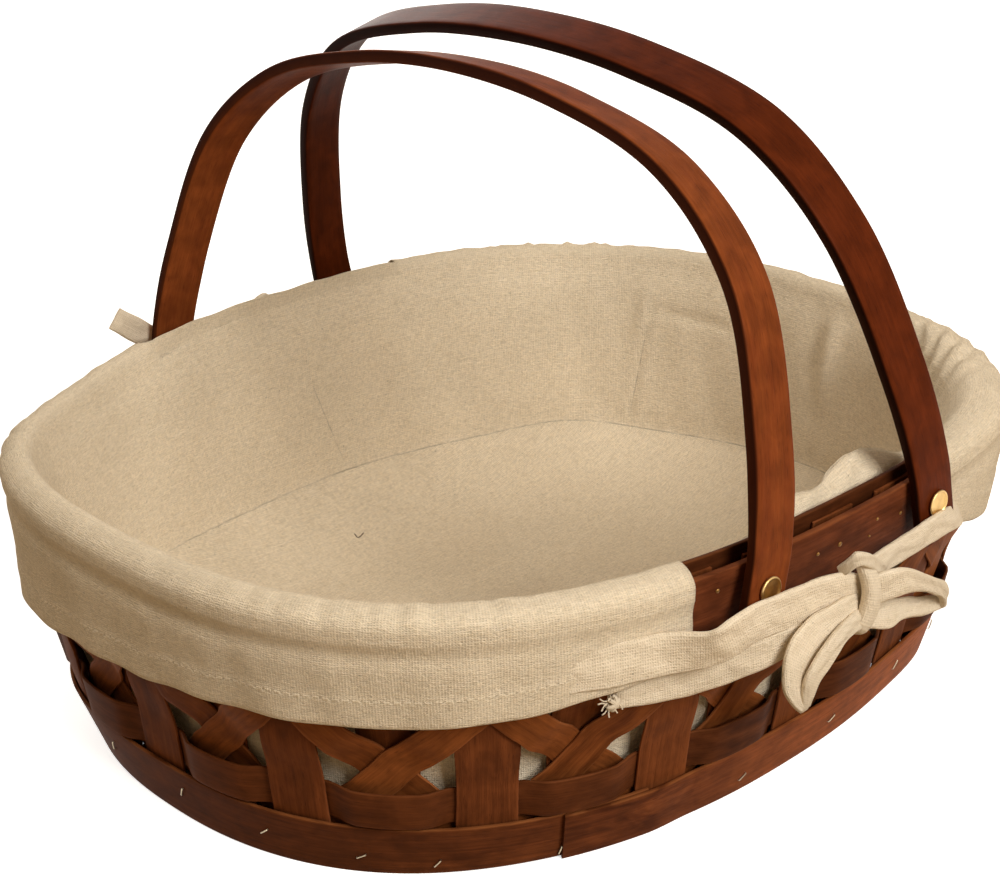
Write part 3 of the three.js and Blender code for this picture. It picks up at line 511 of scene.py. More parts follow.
def band_surface(bottom, top, depth_at):
    """Straight between its lower and upper edge, at depths given by share of a turn."""

    def surface(u, s):
        depth = depth_at(u)
        low, high = wall(u + 0 * s, bottom, depth), wall(u + 0 * s, top, depth)
        return low + (s / (top - bottom) + 0.5)[..., None] * (high - low)

    return surface


def band(name, node_name, start, turns, bottom, top, thickness, depth_at, material, seed):
    """One long strip round the wall, from a share of a turn on, as a piece."""
    u = np.linspace(start, start + turns, round(ROWS_PER_TURN * turns))
    piece = veneer(name, band_surface(bottom, top, depth_at), u, top - bottom, material, thickness,
                   waviness=0.25 * MM, seed=seed, across=9)
    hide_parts(node_name)
    return piece


LAP_START, LAP_STEPS, LAP_RISE = -0.1, 3, 1.75 * MM


def lap_depth(u):
    """The first steps of the base band lie on the end of its second layer, then it drops to the wall."""
    step = (u - LAP_START) * RING_STEPS
    return -0.7 * MM + LAP_RISE * smooth([(LAP_STEPS, 1), (LAP_STEPS + 2, 0)], step)


band("weaver_strip", "weaver", 0, 1 - BUTT_GAP, 24.3 * MM, 41 * MM, SPLINT_THICK,
     lambda u: smooth(WEAVER_SWING, np.mod(u * RING_STEPS, 6)) * MM, weaver_veneer, 31)
band("base_band_strip", "base_band", LAP_START, 1 + LAP_STEPS / RING_STEPS, 0, 23 * MM, 1.4 * MM,
     lap_depth, base_veneer_painted_light_and_shade, 32)
band("outer_rim_band", "rim_band_outer", 0.25, 1 - BUTT_GAP, 90 * MM, 119.3 * MM, 2.7 * MM,
     lambda u: 4.975 * MM + 0 * u, rim_veneer, 33)
band("inner_rim_band", "rim_band_inner", 0.75, 1 - BUTT_GAP, 95 * MM, 122.8 * MM, 1.8 * MM,
     lambda u: -2.425 * MM + 0 * u, inner_rim_veneer, 34)

# ---- Swing handles ----
# Two ash strips, steamed and bent to hoops, stained after bending: the front one took the stain thinly,
# the rear one darkly. Each hangs on two rivets and leans on its own side of the upright.
PIVOT_X, PIVOT_HEIGHT, HANDLE_PLANE, HANDLE_STUB = 51.4 * MM, 108.8 * MM, 181.1 * MM, 17 * MM
HANDLE_WIDE, HANDLE_THICK, END_ROUND = 21.6 * MM, 4.25 * MM, 4 * MM
# Heights on a hoop, as shares of its apex, where its half widths are given.
HOOP_SHARE = (0, 0.1, 0.33, 0.66, 0.87, 0.97, 1)


def centripetal(points, per_span):
    """Curve through points: each span is a cubic whose end slopes come from the root of its neighbours' spacing."""
    padded = np.concatenate([[2 * points[0] - points[1]], points, [2 * points[-1] - points[-2]]])
    gap = np.sqrt(np.linalg.norm(np.diff(padded, axis=0), axis=1))[:, None, None]
    p0, p1, p2, p3 = (padded[i:len(padded) - 3 + i][:, None] for i in range(4))
    g0, g1, g2 = gap[:-2], gap[1:-1], gap[2:]
    m1 = ((p1 - p0) / g0 - (p2 - p0) / (g0 + g1) + (p2 - p1) / g1) * g1
    m2 = ((p2 - p1) / g1 - (p3 - p1) / (g1 + g2) + (p3 - p2) / g2) * g1
    t = np.linspace(0, 1, per_span, endpoint=False)[None, :, None]
    spans = ((1 + 2 * t) * (1 - t) ** 2 * p1 + t * (1 - t) ** 2 * m1
             + t * t * (3 - 2 * t) * p2 + t * t * (t - 1) * m2)
    return np.concatenate([spans.reshape(-1, points.shape[1]), points[-1:]])


def evenly(points, spacing):
    """The same line with points at even steps of length."""
    length = np.concatenate([[0], np.cumsum(np.linalg.norm(np.diff(points, axis=0), axis=1))])
    even = np.linspace(0, length[-1], max(int(length[-1] / spacing), 4))
    return np.stack([np.interp(even, length, points[:, i]) for i in range(points.shape[1])], -1)


def hoop(name, node_name, body, pivot_x, lean, apex, half_widths, material):
    """A flat bar along the hoop line in its leaning plane. Half the hoop is given; the other half mirrors it."""
    near = np.array([(-w * MM, share * apex) for w, share in zip(half_widths, HOOP_SHARE)])
    line = evenly(centripetal(np.concatenate([near, (near * (-1, 1))[-2::-1]]), 60), 3 * MM)
    ends = np.array([0, 0.25, 0.8, 1.7, 2.8, 4, 7, 10, 13.5]) * MM
    stub = np.stack([np.full(len(ends), -HANDLE_PLANE), ends - HANDLE_STUB], -1)
    line = np.concatenate([stub, line, (stub * (-1, 1))[::-1]])
    from_end = np.concatenate([ends, np.full(len(line) - 2 * len(ends), 1.0), ends[::-1]])[:, None]
    cut = np.clip(END_ROUND - from_end, 0, END_ROUND)
    narrower = 1 - (END_ROUND - np.sqrt(END_ROUND ** 2 - cut ** 2)) / (HANDLE_WIDE / 2)
    up, across = Vector((math.sin(lean), 0, math.cos(lean))), Vector((math.cos(lean), 0, -math.sin(lean)))
    middle = np.array((pivot_x, 0, PIVOT_HEIGHT)) + line[:, 1:] * np.array(up)
    middle[:, 1] = line[:, 0]

    def surface(u, s):
        return middle[:, None] - s[..., None] * np.array(across)

    s, h, around = slab_outline(HANDLE_WIDE / 2, HANDLE_THICK / 2, 0.9 * MM, 9)
    run = np.linspace(0, 8, len(line))[:, None]
    wide = narrower * (1 + 0.010 * waver(run, 1.7, 60 + len(name)))
    above = np.clip((line[:, 1:] - 15 * MM) / (25 * MM), 0, 1)
    thick = 1 + 0.22 * above * above * (3 - 2 * above) + 0.04 * waver(run, 2.3, 70 + len(name))
    points = thickened(surface, run, s * wide, h * thick)
    piece = bar(name, points, around, np.abs(s) / (HANDLE_WIDE / 2), material, body, chance.uniform(0, 40, 2))
    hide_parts(node_name)
    return piece


# Ash, sanded, wiped with stain. Its narrow sides are coloured almost black: painted shade on the sides.
front_ash_painted_side_shade = stained_wood("thinly_stained_bent_ash", "#672f15", "#773b1a", "#854722", "#2c1107", 0.955, 0, 0.42, 0.12)
rear_ash_painted_side_shade = stained_wood("darkly_stained_bent_ash", "#421907", "#4f200b", "#5b260e", "#1f0b04", 0.955, 0, 0.38, 0.12)
hoop("front_bent_handle", "handle_front", "front_handle", -PIVOT_X, math.radians(10.7),
     159 * MM, (181.1, 180.8, 173.3, 152.4, 112.9, 56.7, 0), front_ash_painted_side_shade)
hoop("rear_bent_handle", "handle_rear", "rear_handle", PIVOT_X, math.radians(-13.35),
     171 * MM, (181.1, 180.8, 173, 151.4, 117, 60, 0), rear_ash_painted_side_shade)

# ---- Rivets ----
# Four brass-plated tubular rivets: a dished head with a rolled rim outside the handle, a collar between
# handle and rim band, a shank, and a burr clinched inside the basket.
HEAD_RADIUS, COLLAR_RADIUS, SHANK_RADIUS = 5.5 * MM, 4.6 * MM, 2.4 * MM
RIVET_SIDES = 48


def plated_metal(name, colour, dark, roughness):
    """Plated metal: even colour with faint tarnish clouds, fine scuffs in its roughness."""
    m = blank(bpy.data.materials.new(name))
    place = node(m, "TexCoord", out="Object")
    cloud = node(m, "TexNoise", {"Vector": place, "Scale": 1 / (3.846 * MM), "Detail": 3.0})
    scuff = node(m, "TexNoise", {"Vector": place, "Scale": 1 / (0.4167 * MM), "Detail": 2.0})
    tarnish = node(m, "MapRange", (cloud, 0.35, 0.7, 0, 0.6))
    skin = node(m, "BsdfPrincipled", {
        "Base Color": node(m, "Mix", {0: tarnish, 6: linear(colour), 7: linear(dark)}, 2, data_type="RGBA"),
        "Metallic": 1.0, "Roughness": node(m, "MapRange", (scuff, 0, 1, roughness - 0.08, roughness + 0.12)),
        "Normal": node(m, "Bump", {"Height": scuff, "Strength": 0.15, "Distance": 0.05 * MM})})
    node(m, "OutputMaterial", [skin])
    return m


# Brass-plated steel, rubbed dull by handling.
brass = plated_metal("brass_plated_steel", "#d3b074", "#9c7b45", 0.34)


def wall_reach(x, z, depth):
    """Distance of the near wall from the middle plane at a place along it."""
    turns = np.linspace(-0.15, 0.15, 601)
    points = wall(turns, z, depth)
    return -np.interp(x, points[:, 0], points[:, 1])


def turned_piece(name, node_name, x, z, side, profile):
    """Solid of revolution about a line along Y: each (radius, reach) of the profile makes a ring."""
    radius, reach = np.array(profile).T
    angle = np.linspace(0, 2 * np.pi, RIVET_SIDES, endpoint=False)
    rows = np.stack([x + radius[:, None] * np.cos(angle), side * reach[:, None] + 0 * angle,
                     z + radius[:, None] * np.sin(angle)], -1)
    if side < 0:
        rows = rows[:, ::-1]
    piece = new_object(name, closed_skins(name, [rows], 45), brass, "root")
    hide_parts(node_name)


outer_face = wall_reach(PIVOT_X - COLLAR_RADIUS, PIVOT_HEIGHT + COLLAR_RADIUS, 6.325 * MM)
inner_face = wall_reach(PIVOT_X + COLLAR_RADIUS, PIVOT_HEIGHT - COLLAR_RADIUS, -3.325 * MM)
inside, outside = HANDLE_PLANE - HANDLE_THICK / 2, HANDLE_PLANE + HANDLE_THICK / 2
GAP = 0.35 * MM
burr_top, head = inner_face - GAP, outside + GAP
rim = [(HEAD_RADIUS - 0.5 * MM + 0.5 * MM * math.sin(a), head + 0.7 * MM - 0.7 * MM * math.cos(a))
       for a in np.linspace(0.25, np.pi / 2, 5)]
lip = [(HEAD_RADIUS - 0.5 * MM + 0.5 * MM * math.cos(a), head + 0.75 * MM + 0.55 * MM * math.sin(a))
       for a in np.linspace(0, np.pi * 0.9, 8)]
dish = [(r * MM, head + y * MM) for r, y in ((4.1, 0.72), (3.4, 0.62), (2.4, 0.60), (1.4, 0.62), (0.5, 0.64))]
rivet_profile = [
    (0.3 * MM, burr_top - 1.2 * MM), (COLLAR_RADIUS - 1.0 * MM, burr_top - 1.2 * MM),
    (COLLAR_RADIUS - 0.3 * MM, burr_top - 1.05 * MM), (COLLAR_RADIUS, burr_top - 0.6 * MM),
    (COLLAR_RADIUS, burr_top), (SHANK_RADIUS, burr_top), (SHANK_RADIUS, outer_face + GAP),
    (COLLAR_RADIUS, outer_face + GAP), (COLLAR_RADIUS, inside - GAP), (SHANK_RADIUS, inside - GAP),
    (SHANK_RADIUS, head), (HEAD_RADIUS - 0.65 * MM, head), *rim, *lip, *dish,
]
for place, x in (("front", -PIVOT_X), ("rear", PIVOT_X)):
    for where, side in (("near", -1), ("far", 1)):
        turned_piece(f"brass_rivet_{place}_{where}", f"rivet_{place}_{where}", x, PIVOT_HEIGHT, side, rivet_profile)

# ---- Staples and pins ----
# Thin wire staples hold the base band to the stakes, and small brass pins hold the rim bands together.
# Staples by share of a turn; pins by distance along, height and radius in mm.
STAPLE_TURNS = (-0.283, -0.240, -0.202, -0.167, -0.142, -0.1005, -0.065, -0.025, 0.024, 0.069)
PIN_PLACES = ((-15.3, 108.2, 0.75), (-2.0, 107.6, 1.0), (20.6, 110.4, 0.7), (37.0, 107.0, 0.75), (17.0, 104.2, 0.45),
              (-68.0, 111.5, 0.9), (-40.0, 97.0, 0.6))


def fixings(name, grids, material):
    """Many small closed skins in one piece, each a grid of outline points."""
    piece = new_object(name, closed_skins(name, grids, 50), material, "root")
    return piece


def staple(turn, height, tilt, depth):
    """Wire 0.55 mm thick: a crown 4.4 mm long lying on the band, its two ends bent into the wood."""
    run = np.array([-2.2, -2.2, -2.05, -1.7, 0, 1.7, 2.05, 2.2, 2.2]) * MM
    out = np.array([-0.5, 0.0, 0.32, 0.42, 0.46, 0.42, 0.32, 0.0, -0.5]) * MM
    angle = np.linspace(0, 2 * np.pi, 9)[:-1]
    side, lift = 0.30 * MM * np.cos(angle), 0.26 * MM * np.sin(angle)
    x = run[:, None] * math.cos(tilt) - side * math.sin(tilt)
    z = run[:, None] * math.sin(tilt) + side * math.cos(tilt)
    return wall(turn + x / round_length(0.012), height + z, depth + out[:, None] + lift)


def pin(turn, height, radius, depth):
    """Low domed head of a small nail."""
    angle = np.linspace(0, 2 * np.pi, 13)[:-1]
    rings = np.array([(1.0, -0.3), (1.0, 0.12), (0.9, 0.3), (0.6, 0.42), (0.15, 0.47)])
    size, out = rings[:, :1] * radius, rings[:, 1:] * MM
    return wall(turn + size * np.cos(angle) / round_length(height), height + size * np.sin(angle), depth + out)


# Brass nails, darkened with the stain.
dull_brass = plated_metal("tarnished_brass", "#a67c45", "#52361b", 0.5)
# Bare tinned wire.
tinned_wire = plated_metal("tinned_steel_wire", "#b9ab90", "#6f5f48", 0.35)
more_turns = np.arange(0.105, 0.70, 0.0385)
staple_turns = [*STAPLE_TURNS, *(more_turns + 0.006 * np.sin(more_turns * 90))]
fixings("base_band_staples", [
    staple(turn, (8.5 + 4.5 * math.sin(7 * n + 1)) * MM, math.radians(52 + 24 * math.sin(5 * n + 2)),
           0.02 * MM + (LAP_RISE if LAP_START < turn < LAP_START + LAP_STEPS / RING_STEPS else 0))
    for n, turn in enumerate(staple_turns)], tinned_wire)
fixings("rim_band_pins", [
    pin(side / 2 + x * MM / round_length(z * MM), z * MM, radius * MM, 6.35 * MM)
    for side in (0, 1) for x, z, radius in PIN_PLACES], dull_brass)

# ---- Cloth liner ----
# Natural cotton canvas. A floor panel is sewn to a wall strip; at each end the wall strip goes on over
# the rim and hangs outside as a cuff with a folded, stitched hem. Between the near handle feet it ends in
# a loose flap that leans inwards; between the far ones it stands a little above the rim.
CLOTH = 1.1 * MM
# Spacing of the threads in mm; the real one is about 0.6, which is too fine to show.
THREADS = 0.95
# Length of the wall strip round the basket, in mm.
WALL_ROUND = 1160
SEAM_DEPTH, FLOOR_LEVEL, WALL_TOP, HANG_TOP = -10.6 * MM, 5.2 * MM, 117 * MM, 113 * MM
# Height of the hem's lower edge in mm, by share of a turn.
HEM_HEIGHT = ((0.05, 88), (0.067, 86), (0.075, 83), (0.087, 78), (0.1, 74), (0.12, 72), (0.16, 71), (0.25, 70),
              (0.35, 74), (0.4, 78), (0.44, 84), (0.56, 84), (0.6, 76), (0.65, 70), (0.698, 68), (0.72, 69),
              (0.738, 71.5), (0.765, 73.6), (0.784, 75.8), (0.802, 77.3), (0.84, 78.2), (0.881, 79.5), (0.903, 83),
              (0.93, 85.3), (0.95, 85.3))
HEM_FOLD, STITCH, STITCHES_BELOW_FOLD = 12.5 * MM, 3.2 * MM, 1.5
NO_HEM, NO_SEAM, FLOOR_UV_SHIFT = 60.0, 400.0, 3.0
FLOOR_RINGS, WALL_RINGS, CREST_RINGS, HANG_RINGS, HEM_RINGS, FLAP_RINGS = 22, 32, 22, 26, 8, 8
COLUMNS = 432
# First and last column of the two places where the cloth has no cuff.
NEAR_NOTCH, FAR_NOTCH = (-28, 23), (189, 243)
# Free edge of the near flap: turn, depth and height in millimetres.
NEAR_FLAP = np.array([
    (-0.0640, -6.0, 117.6), (-0.0380, -7.0, 118.0), (-0.0200, -10.0, 121.5), (-0.0077, -12.8, 125.6),
    (0.0049, -12.8, 123.4), (0.0090, -14.5, 125.4), (0.0207, -17.5, 129.0), (0.0272, -17.2, 129.0),
    (0.0374, -16.0, 125.3), (0.0473, -11.0, 121.0), (0.0600, -8.0, 119.5)])
# Creases inside: turn and height at both ends, how far the cloth stands inwards there, and half width, in mm.
CREASES = ((0.319, 93.5, 0.283, 90, -1.6, 2.6), (0.536, 120, 0.522, 115.7, -1.0, 3.5),
           (0.522, 115.7, 0.505, 108, -1.3, 3.5), (0.2275, 117, 0.231, 66, 3.4, 4.2),
           (0.236, 118, 0.239, 76, -1.6, 3.5), (0.318, 118, 0.328, 84, 1.4, 3.0), (0.195, 112, 0.212, 84, 1.2, 4.0))


def canvas(name, light, body, shade, sewn):
    """Unbleached plain-weave cotton: fine threads both ways, slubs, seed flecks, small crinkles in the relief,
    a little light through it. A sewn panel also gets its seams: a dark line where floor and wall join, fine
    lines at the upright seams and a row of stitches above the hem. UV in metres. The threads are waves: a wave
    texture of scale s has its bands pi / 10 / s apart."""
    m = blank(bpy.data.materials.new(name))
    uv = node(m, "UVMap", out="UV", uv_map="cloth")
    weft, warp, slub, cloud, fleck, crinkle, cross_crinkle, broken = (
        node(m, "TexNoise", {
            "Vector": node(m, "Mapping", {
                "Vector": uv, "Scale": (1 / (x * MM), 1 / (y * MM), 1), "Rotation": (0, 0, turn)}),
            "Scale": 1.0, "Detail": detail, "Distortion": twist})
        for x, y, detail, turn, twist in (
            (7, THREADS, 2, 0, 0), (THREADS, 7, 2, 0, 0), (16, 0.9, 1, 0, 0), (45, 38, 3, 0, 0), (1.3, 1.1, 0, 0, 0),
            (2.6, 1.0, 2, 0.6, 1.4), (1.8, 0.8, 1, -0.6, 1.2), (9, 9, 2, 0, 0)))
    crinkle = node(m, "Math", (crinkle, cross_crinkle), operation="ADD")
    weave = node(m, "Math", [
        node(m, "TexWave", {"Vector": uv, "Scale": math.pi / 10 / (THREADS * MM), "Distortion": 1.2, "Detail": 1.0,
                            "Detail Scale": 1.5}, 1, wave_type="BANDS", bands_direction=axis)
        for axis in "XY"], operation="MAXIMUM")
    yarn = node(m, "Math", (weft, warp), operation="ADD")
    base = node(m, "Mix", {0: node(m, "MapRange", (yarn, 0.7, 1.1, 0, 1)), 6: linear(shade), 7: linear(body)},
                2, data_type="RGBA")
    base = node(m, "Mix", {0: node(m, "MapRange", (slub, 0.6, 0.75, 0, 0.6)), 6: base, 7: linear(light)},
                2, data_type="RGBA")
    # The crinkles' light and dark is painted into the colour as well as put in the relief: painted shade and light.
    crinkle_painted_shade = (0.87, 1.08) if sewn else (0.96, 1.03)
    shading = 1.0
    for spread in ((weave, 0, 1, 0.89, 1.05), (cloud, 0.3, 0.7, 0.96, 1.03), (fleck, 0.16, 0.20, 0.68, 1),
                   (crinkle, 0.78, 1.2, *crinkle_painted_shade)):
        shading = node(m, "Math", (shading, node(m, "MapRange", spread)), operation="MULTIPLY")
    threads = node(m, "Math", (weave, yarn), operation="ADD")
    relief = node(m, "Math", (crinkle, 2.6, threads), operation="MULTIPLY_ADD")
    if sewn:
        lines = node(m, "Attribute", out="Vector", attribute_name="lines")
        floor_seam, upright_seam, over_hem = (node(m, "SeparateXYZ", [lines], axis) for axis in "XYZ")
        patchy = node(m, "MapRange", (broken, 0.38, 0.62, 0.25, 1))
        for seam, half_width, depth in ((floor_seam, 0.65, 0.45), (upright_seam, 0.6, 0.3)):
            near = node(m, "MapRange", (node(m, "Math", [seam], operation="ABSOLUTE"), 0, half_width, 1, 0))
            groove = node(m, "Math", (near, patchy), operation="MULTIPLY")
            darker = node(m, "MapRange", (groove, 0, 1, 1, 1 - depth))
            shading = node(m, "Math", (shading, darker), operation="MULTIPLY")
            relief = node(m, "Math", (groove, -6 * depth, relief), operation="MULTIPLY_ADD")
        from_row = node(m, "Math", (over_hem, HEM_FOLD / MM - STITCHES_BELOW_FOLD), operation="SUBTRACT")
        near = node(m, "MapRange", (node(m, "Math", [from_row], operation="ABSOLUTE"), 0.1, 0.7, 1, 0))
        steps = node(m, "Math", (node(m, "SeparateXYZ", [uv]), STITCH), operation="DIVIDE")
        dash = node(m, "MapRange", (node(m, "Math", [steps], operation="FRACT"), 0.62, 0.7, 1, -1.2))
        stitch = node(m, "Math", (near, dash), operation="MULTIPLY")
        paler = node(m, "MapRange", (stitch, -1.2, 1, 0.93, 1.05))
        shading = node(m, "Math", (shading, paler), operation="MULTIPLY")
        relief = node(m, "Math", (stitch, 1.5, relief), operation="MULTIPLY_ADD")
    colour = node(m, "VectorMath", {0: base, "Scale": shading}, operation="SCALE")
    bump = node(m, "Bump", {"Height": relief, "Strength": 0.7, "Distance": 0.22 * MM})
    front = node(m, "BsdfPrincipled", {
        "Base Color": colour, "Roughness": 0.93, "Normal": bump, "Specular IOR Level": 0.04})
    through = node(m, "BsdfTranslucent", {"Color": colour, "Normal": bump})
    node(m, "OutputMaterial", [node(m, "MixShader", (0.12, front, through))])
    return m


# Washed natural canvas, matt.
linen = canvas("unbleached_cotton_canvas", "#f0e4d0", "#e8dac2", "#dfcfb4", True)
# The same cloth sewn into tubes, a little paler.
tape_linen = canvas("unbleached_cotton_tape", "#f3e8d5", "#ecdec7", "#e2d3ba", False)


def seam_height(turn):
    """The floor seam sits 27 to 34 mm up the wall."""
    return (29.6 + 1.2 * round_waver(turn, 3, 92) + 3.2 * np.exp(-((np.mod(turn, 1) - 0.362) / 0.03) ** 2)) * MM


def seam_distance(turn, height):
    """Signed distance in mm to the nearest upright seam; the seams lean a little as they rise."""
    nearest = np.full(np.broadcast_shapes(np.shape(turn), np.shape(height)), 999.0)
    for foot, head_turn in ((0.477, 0.494), (0.333, 0.322), (0.977, 0.994), (0.833, 0.822)):
        place = foot + (head_turn - foot) * (height / MM - 29) / 65
        distance = (np.mod(turn - place + 0.5, 1) - 0.5) * WALL_ROUND
        nearest = np.where(np.abs(distance) < np.abs(nearest), distance, nearest)
    return nearest


def creased(turn, height):
    """Folds inside the wall: each a line between two places, as a smooth ridge or groove beside it, in mm."""
    total = 0
    for turn_a, z_a, turn_b, z_b, depth, wide in CREASES:
        ax, bx, px = turn_a * WALL_ROUND, turn_b * WALL_ROUND, turn * WALL_ROUND
        along_it = ((px - ax) * (bx - ax) + (height / MM - z_a) * (z_b - z_a)) / ((bx - ax) ** 2 + (z_b - z_a) ** 2)
        nearest = np.clip(along_it, 0, 1)
        away = np.hypot(px - ax - nearest * (bx - ax), height / MM - z_a - nearest * (z_b - z_a))
        total = total + depth * np.exp(-(away / wide) ** 2) * (1 - 0.6 * np.abs(2 * nearest - 1) ** 3)
    return total


def cloth_inwards(turn, height):
    """How far the wall cloth swells inwards, in metres: slow swells, small puckers, seams and creases."""
    swell = 0.7 + 0.75 * round_waver(turn, 6, 80, 3 * height) + 0.3 * round_waver(turn, 19, 81, -8 * height)
    seam = np.abs(seam_distance(turn, height))
    doubled = 0.8 * np.exp(-((seam - 3.5) / 3) ** 2) - 0.9 * np.exp(-(seam / 1.6) ** 2)
    return np.maximum(swell + doubled + creased(turn, height), -0.4) * MM


def crest_lift(turn):
    """Height of the puckers along the crest of the cuffs, in metres."""
    gather = np.clip(round_waver(turn, 4, 86) + 0.15, 0, 1)
    pleats = 0.7 * near_turn(turn, 0.835, 0.028) * round_waver(turn, 88, 96)
    return (0.30 * round_waver(turn, 34, 83) + 0.75 * gather * round_waver(turn, 71, 87) + pleats) * MM


def drawn_pleats(turn, share):
    """Slanting pleats where the cloth is bunched at the right end, in metres: sines round the basket whose phase
    moves on with the share of the way over the crest."""
    return 1.9 * MM * near_turn(turn, 0.155, 0.030) * np.sin(2 * np.pi * 68 * (turn - 0.045 * share) + 1.0)


def liner_points(turn):
    """Rows of cloth points from the middle of the floor outwards, up the wall, over the rim and down to the hem,
    and the height of each above the hem in mm."""
    seam_z = seam_height(turn)
    seam_x, seam_y = (wall(turn, seam_z, SEAM_DEPTH)[..., i] for i in (0, 1))
    share = np.linspace(0.03, 1, FLOOR_RINGS + 1)[:-1, None] ** 0.8
    sag = np.clip((share - 0.55) / 0.45, 0, 1) ** 2.2
    bumps = 0.9 * MM * round_waver(turn, 3, 90, share) * np.clip(1 - share, 0, 0.5) * 2
    floor_rows = np.stack([share * seam_x, share * seam_y, FLOOR_LEVEL + (seam_z - FLOOR_LEVEL) * sag + bumps], -1)
    inward = np.array([(24, 10.6), (36, 9.5), (80, 9.3), (104, 8.0), (118, 5.4)]) * MM
    z = seam_z + np.linspace(0, 1, WALL_RINGS)[:, None] * (WALL_TOP - seam_z)
    fade = np.clip((WALL_TOP - z) / (20 * MM), 0, 1) * np.clip((z - seam_z) / (12 * MM), 0, 1)
    lift = crest_lift(turn)
    bunched = 12.5 * MM * near_turn(turn, 0.130, 0.055)
    pleated = drawn_pleats(turn, 0) * smooth([(84, 0), (112, 1), (117, 1)], z / MM)
    wall_rows = wall(turn, z, -smooth(inward, z) - cloth_inwards(turn, z) * fade
                     - np.maximum(lift, 0) * (1 - fade) * 0.6
                     - bunched * smooth([(60, 0), (108, 1), (117, 1)], z / MM) - pleated)
    over_rim = np.array([(-5.4, 117), (-4.6, 121.4), (-2.4, 123.9), (1.6, 123.9), (5.4, 122.0), (8.1, 118.6),
                         (8.7, 113)])
    crest = evenly(centripetal(over_rim * MM, 12), 1.0 * MM)
    pick = np.linspace(0, len(crest) - 1, CREST_RINGS).round().astype(int)[1:]
    over = np.sin(np.linspace(0, np.pi, len(pick)))[:, None]
    inside = np.linspace(1, 0, len(pick))[:, None] ** 1.3
    passed = np.linspace(0, 1, len(pick))[:, None]
    tilt = np.minimum(2 * passed, 1) * np.pi / 2
    pleat = drawn_pleats(turn, passed) * (1 - passed)
    crest_rows = wall(turn, crest[pick, 1:] + lift * over + pleat * np.sin(tilt),
                      crest[pick, :1] + 0.4 * lift * over - bunched * inside - pleat * np.cos(tilt))
    hem = (smooth(HEM_HEIGHT, turn) + 0.5 * round_waver(turn, 13, 84)) * MM
    down = np.linspace(0, 1, HANG_RINGS + 1)[1:, None]
    z = HANG_TOP + down * (hem - HANG_TOP)
    above_hem = z - hem
    step = smooth([(HEM_FOLD - 1.2 * MM, 0.4 * MM), (HEM_FOLD + 0.3 * MM, 0)], above_hem)
    under_rim = np.exp(-((z - 107.5 * MM) / (4 * MM)) ** 2)
    drawn_in = (1.0 + 0.9 * near_turn(turn, 0.77, 0.05) + 0.35 * round_waver(turn, 6, 88)) * MM * under_rim
    swing = 8.7 * MM + down * (0.6 * MM + 0.9 * MM * round_waver(turn, 15, 85)) + step - drawn_in
    swing = swing + 0.3 * MM * round_waver(turn, 31, 89, 9 * z) * down * (1 - down) * 4
    hang_rows = wall(turn, z, swing)
    fold = np.linspace(0, 1, HEM_RINGS + 1)[1:, None]
    back_z = hem + np.where(fold < 0.35, -0.5 * MM * np.sin(fold / 0.35 * np.pi), (fold - 0.35) / 0.65 * 11 * MM)
    tuck = np.clip(fold / 0.3, 0, 1)
    hem_rows = wall(turn, back_z, swing[-1] - 1.35 * MM * tuck + 0.3 * MM * (1 - tuck))
    gone_up = [np.full((len(rows), turn.shape[1]), NO_HEM) for rows in (floor_rows, wall_rows)]
    from_hem = [*gone_up, (crest_rows[..., 2] - hem) / MM, above_hem / MM, np.full((HEM_RINGS, turn.shape[1]), -5.0)]
    return np.concatenate([floor_rows, wall_rows, crest_rows, hang_rows, hem_rows]), np.concatenate(from_hem)


def flap_rows(turn, start, top_depth, top_z, bulge, ridges):
    """Rows from the top of the wall cloth to a free edge, bowed a little outwards on the way, with slanting
    ridges."""
    share = np.linspace(0, 1, FLAP_RINGS + 1)[1:, None]
    depth = -5.4 * MM + share * (top_depth + 5.4 * MM) + bulge * np.sin(np.pi * share)
    depth = depth + ridges * np.sin(2 * np.pi * (turn * 44 - 0.7 * share)) * np.minimum(2 * share, 1)
    return wall(turn, start[:, 2] + share * (top_z - start[:, 2]), depth)


columns = np.linspace(0, 1, COLUMNS + 1)[:-1]
rows_all, from_hem = liner_points(columns[None])
row_count = len(rows_all)
open_rows = FLOOR_RINGS + WALL_RINGS - 1
for (first, last), is_near in ((NEAR_NOTCH, True), (FAR_NOTCH, False)):
    inner = np.mod(np.arange(first + 1, last), COLUMNS)
    turn = np.where(columns[inner] > 0.75, columns[inner] - 1, columns[inner])
    if is_near:
        depth, top = (np.interp(turn, NEAR_FLAP[:, 0], NEAR_FLAP[:, i]) * MM for i in (1, 2))
        depth, top = depth + 0.5 * MM * round_waver(turn, 40, 93), top + 0.35 * MM * round_waver(turn, 55, 94)
        bulge, ridges = 1.6 * MM, 1.0 * MM
    else:
        depth, top = -4.7 * MM + 0 * turn, (125.9 + 0.35 * round_waver(turn, 21, 95)) * MM
        bulge, ridges = 0.3 * MM, 0
    flap = slice(open_rows + 1, open_rows + 1 + FLAP_RINGS)
    rows_all[flap, inner] = flap_rows(turn[None], rows_all[open_rows, inner], depth, top, bulge, ridges)
    from_hem[flap, inner] = NO_HEM
i, j = np.meshgrid(np.arange(row_count - 1), np.arange(COLUMNS), indexing="ij")
k = (j + 1) % COLUMNS
in_near = (j >= NEAR_NOTCH[0] + COLUMNS) | (j < NEAR_NOTCH[1])
in_far = (j >= FAR_NOTCH[0]) & (j < FAR_NOTCH[1])
kept = (i < open_rows + FLAP_RINGS) | ~(in_near | in_far)
quads = np.stack([i * COLUMNS + j, i * COLUMNS + k, (i + 1) * COLUMNS + k, (i + 1) * COLUMNS + j], -1)
flat_points = rows_all.reshape(-1, 3)
ids, packed = np.unique(quads[kept], return_inverse=True)
faces = packed.reshape(-1, 4)
centre_fan = list(range(COLUMNS))[::-1]
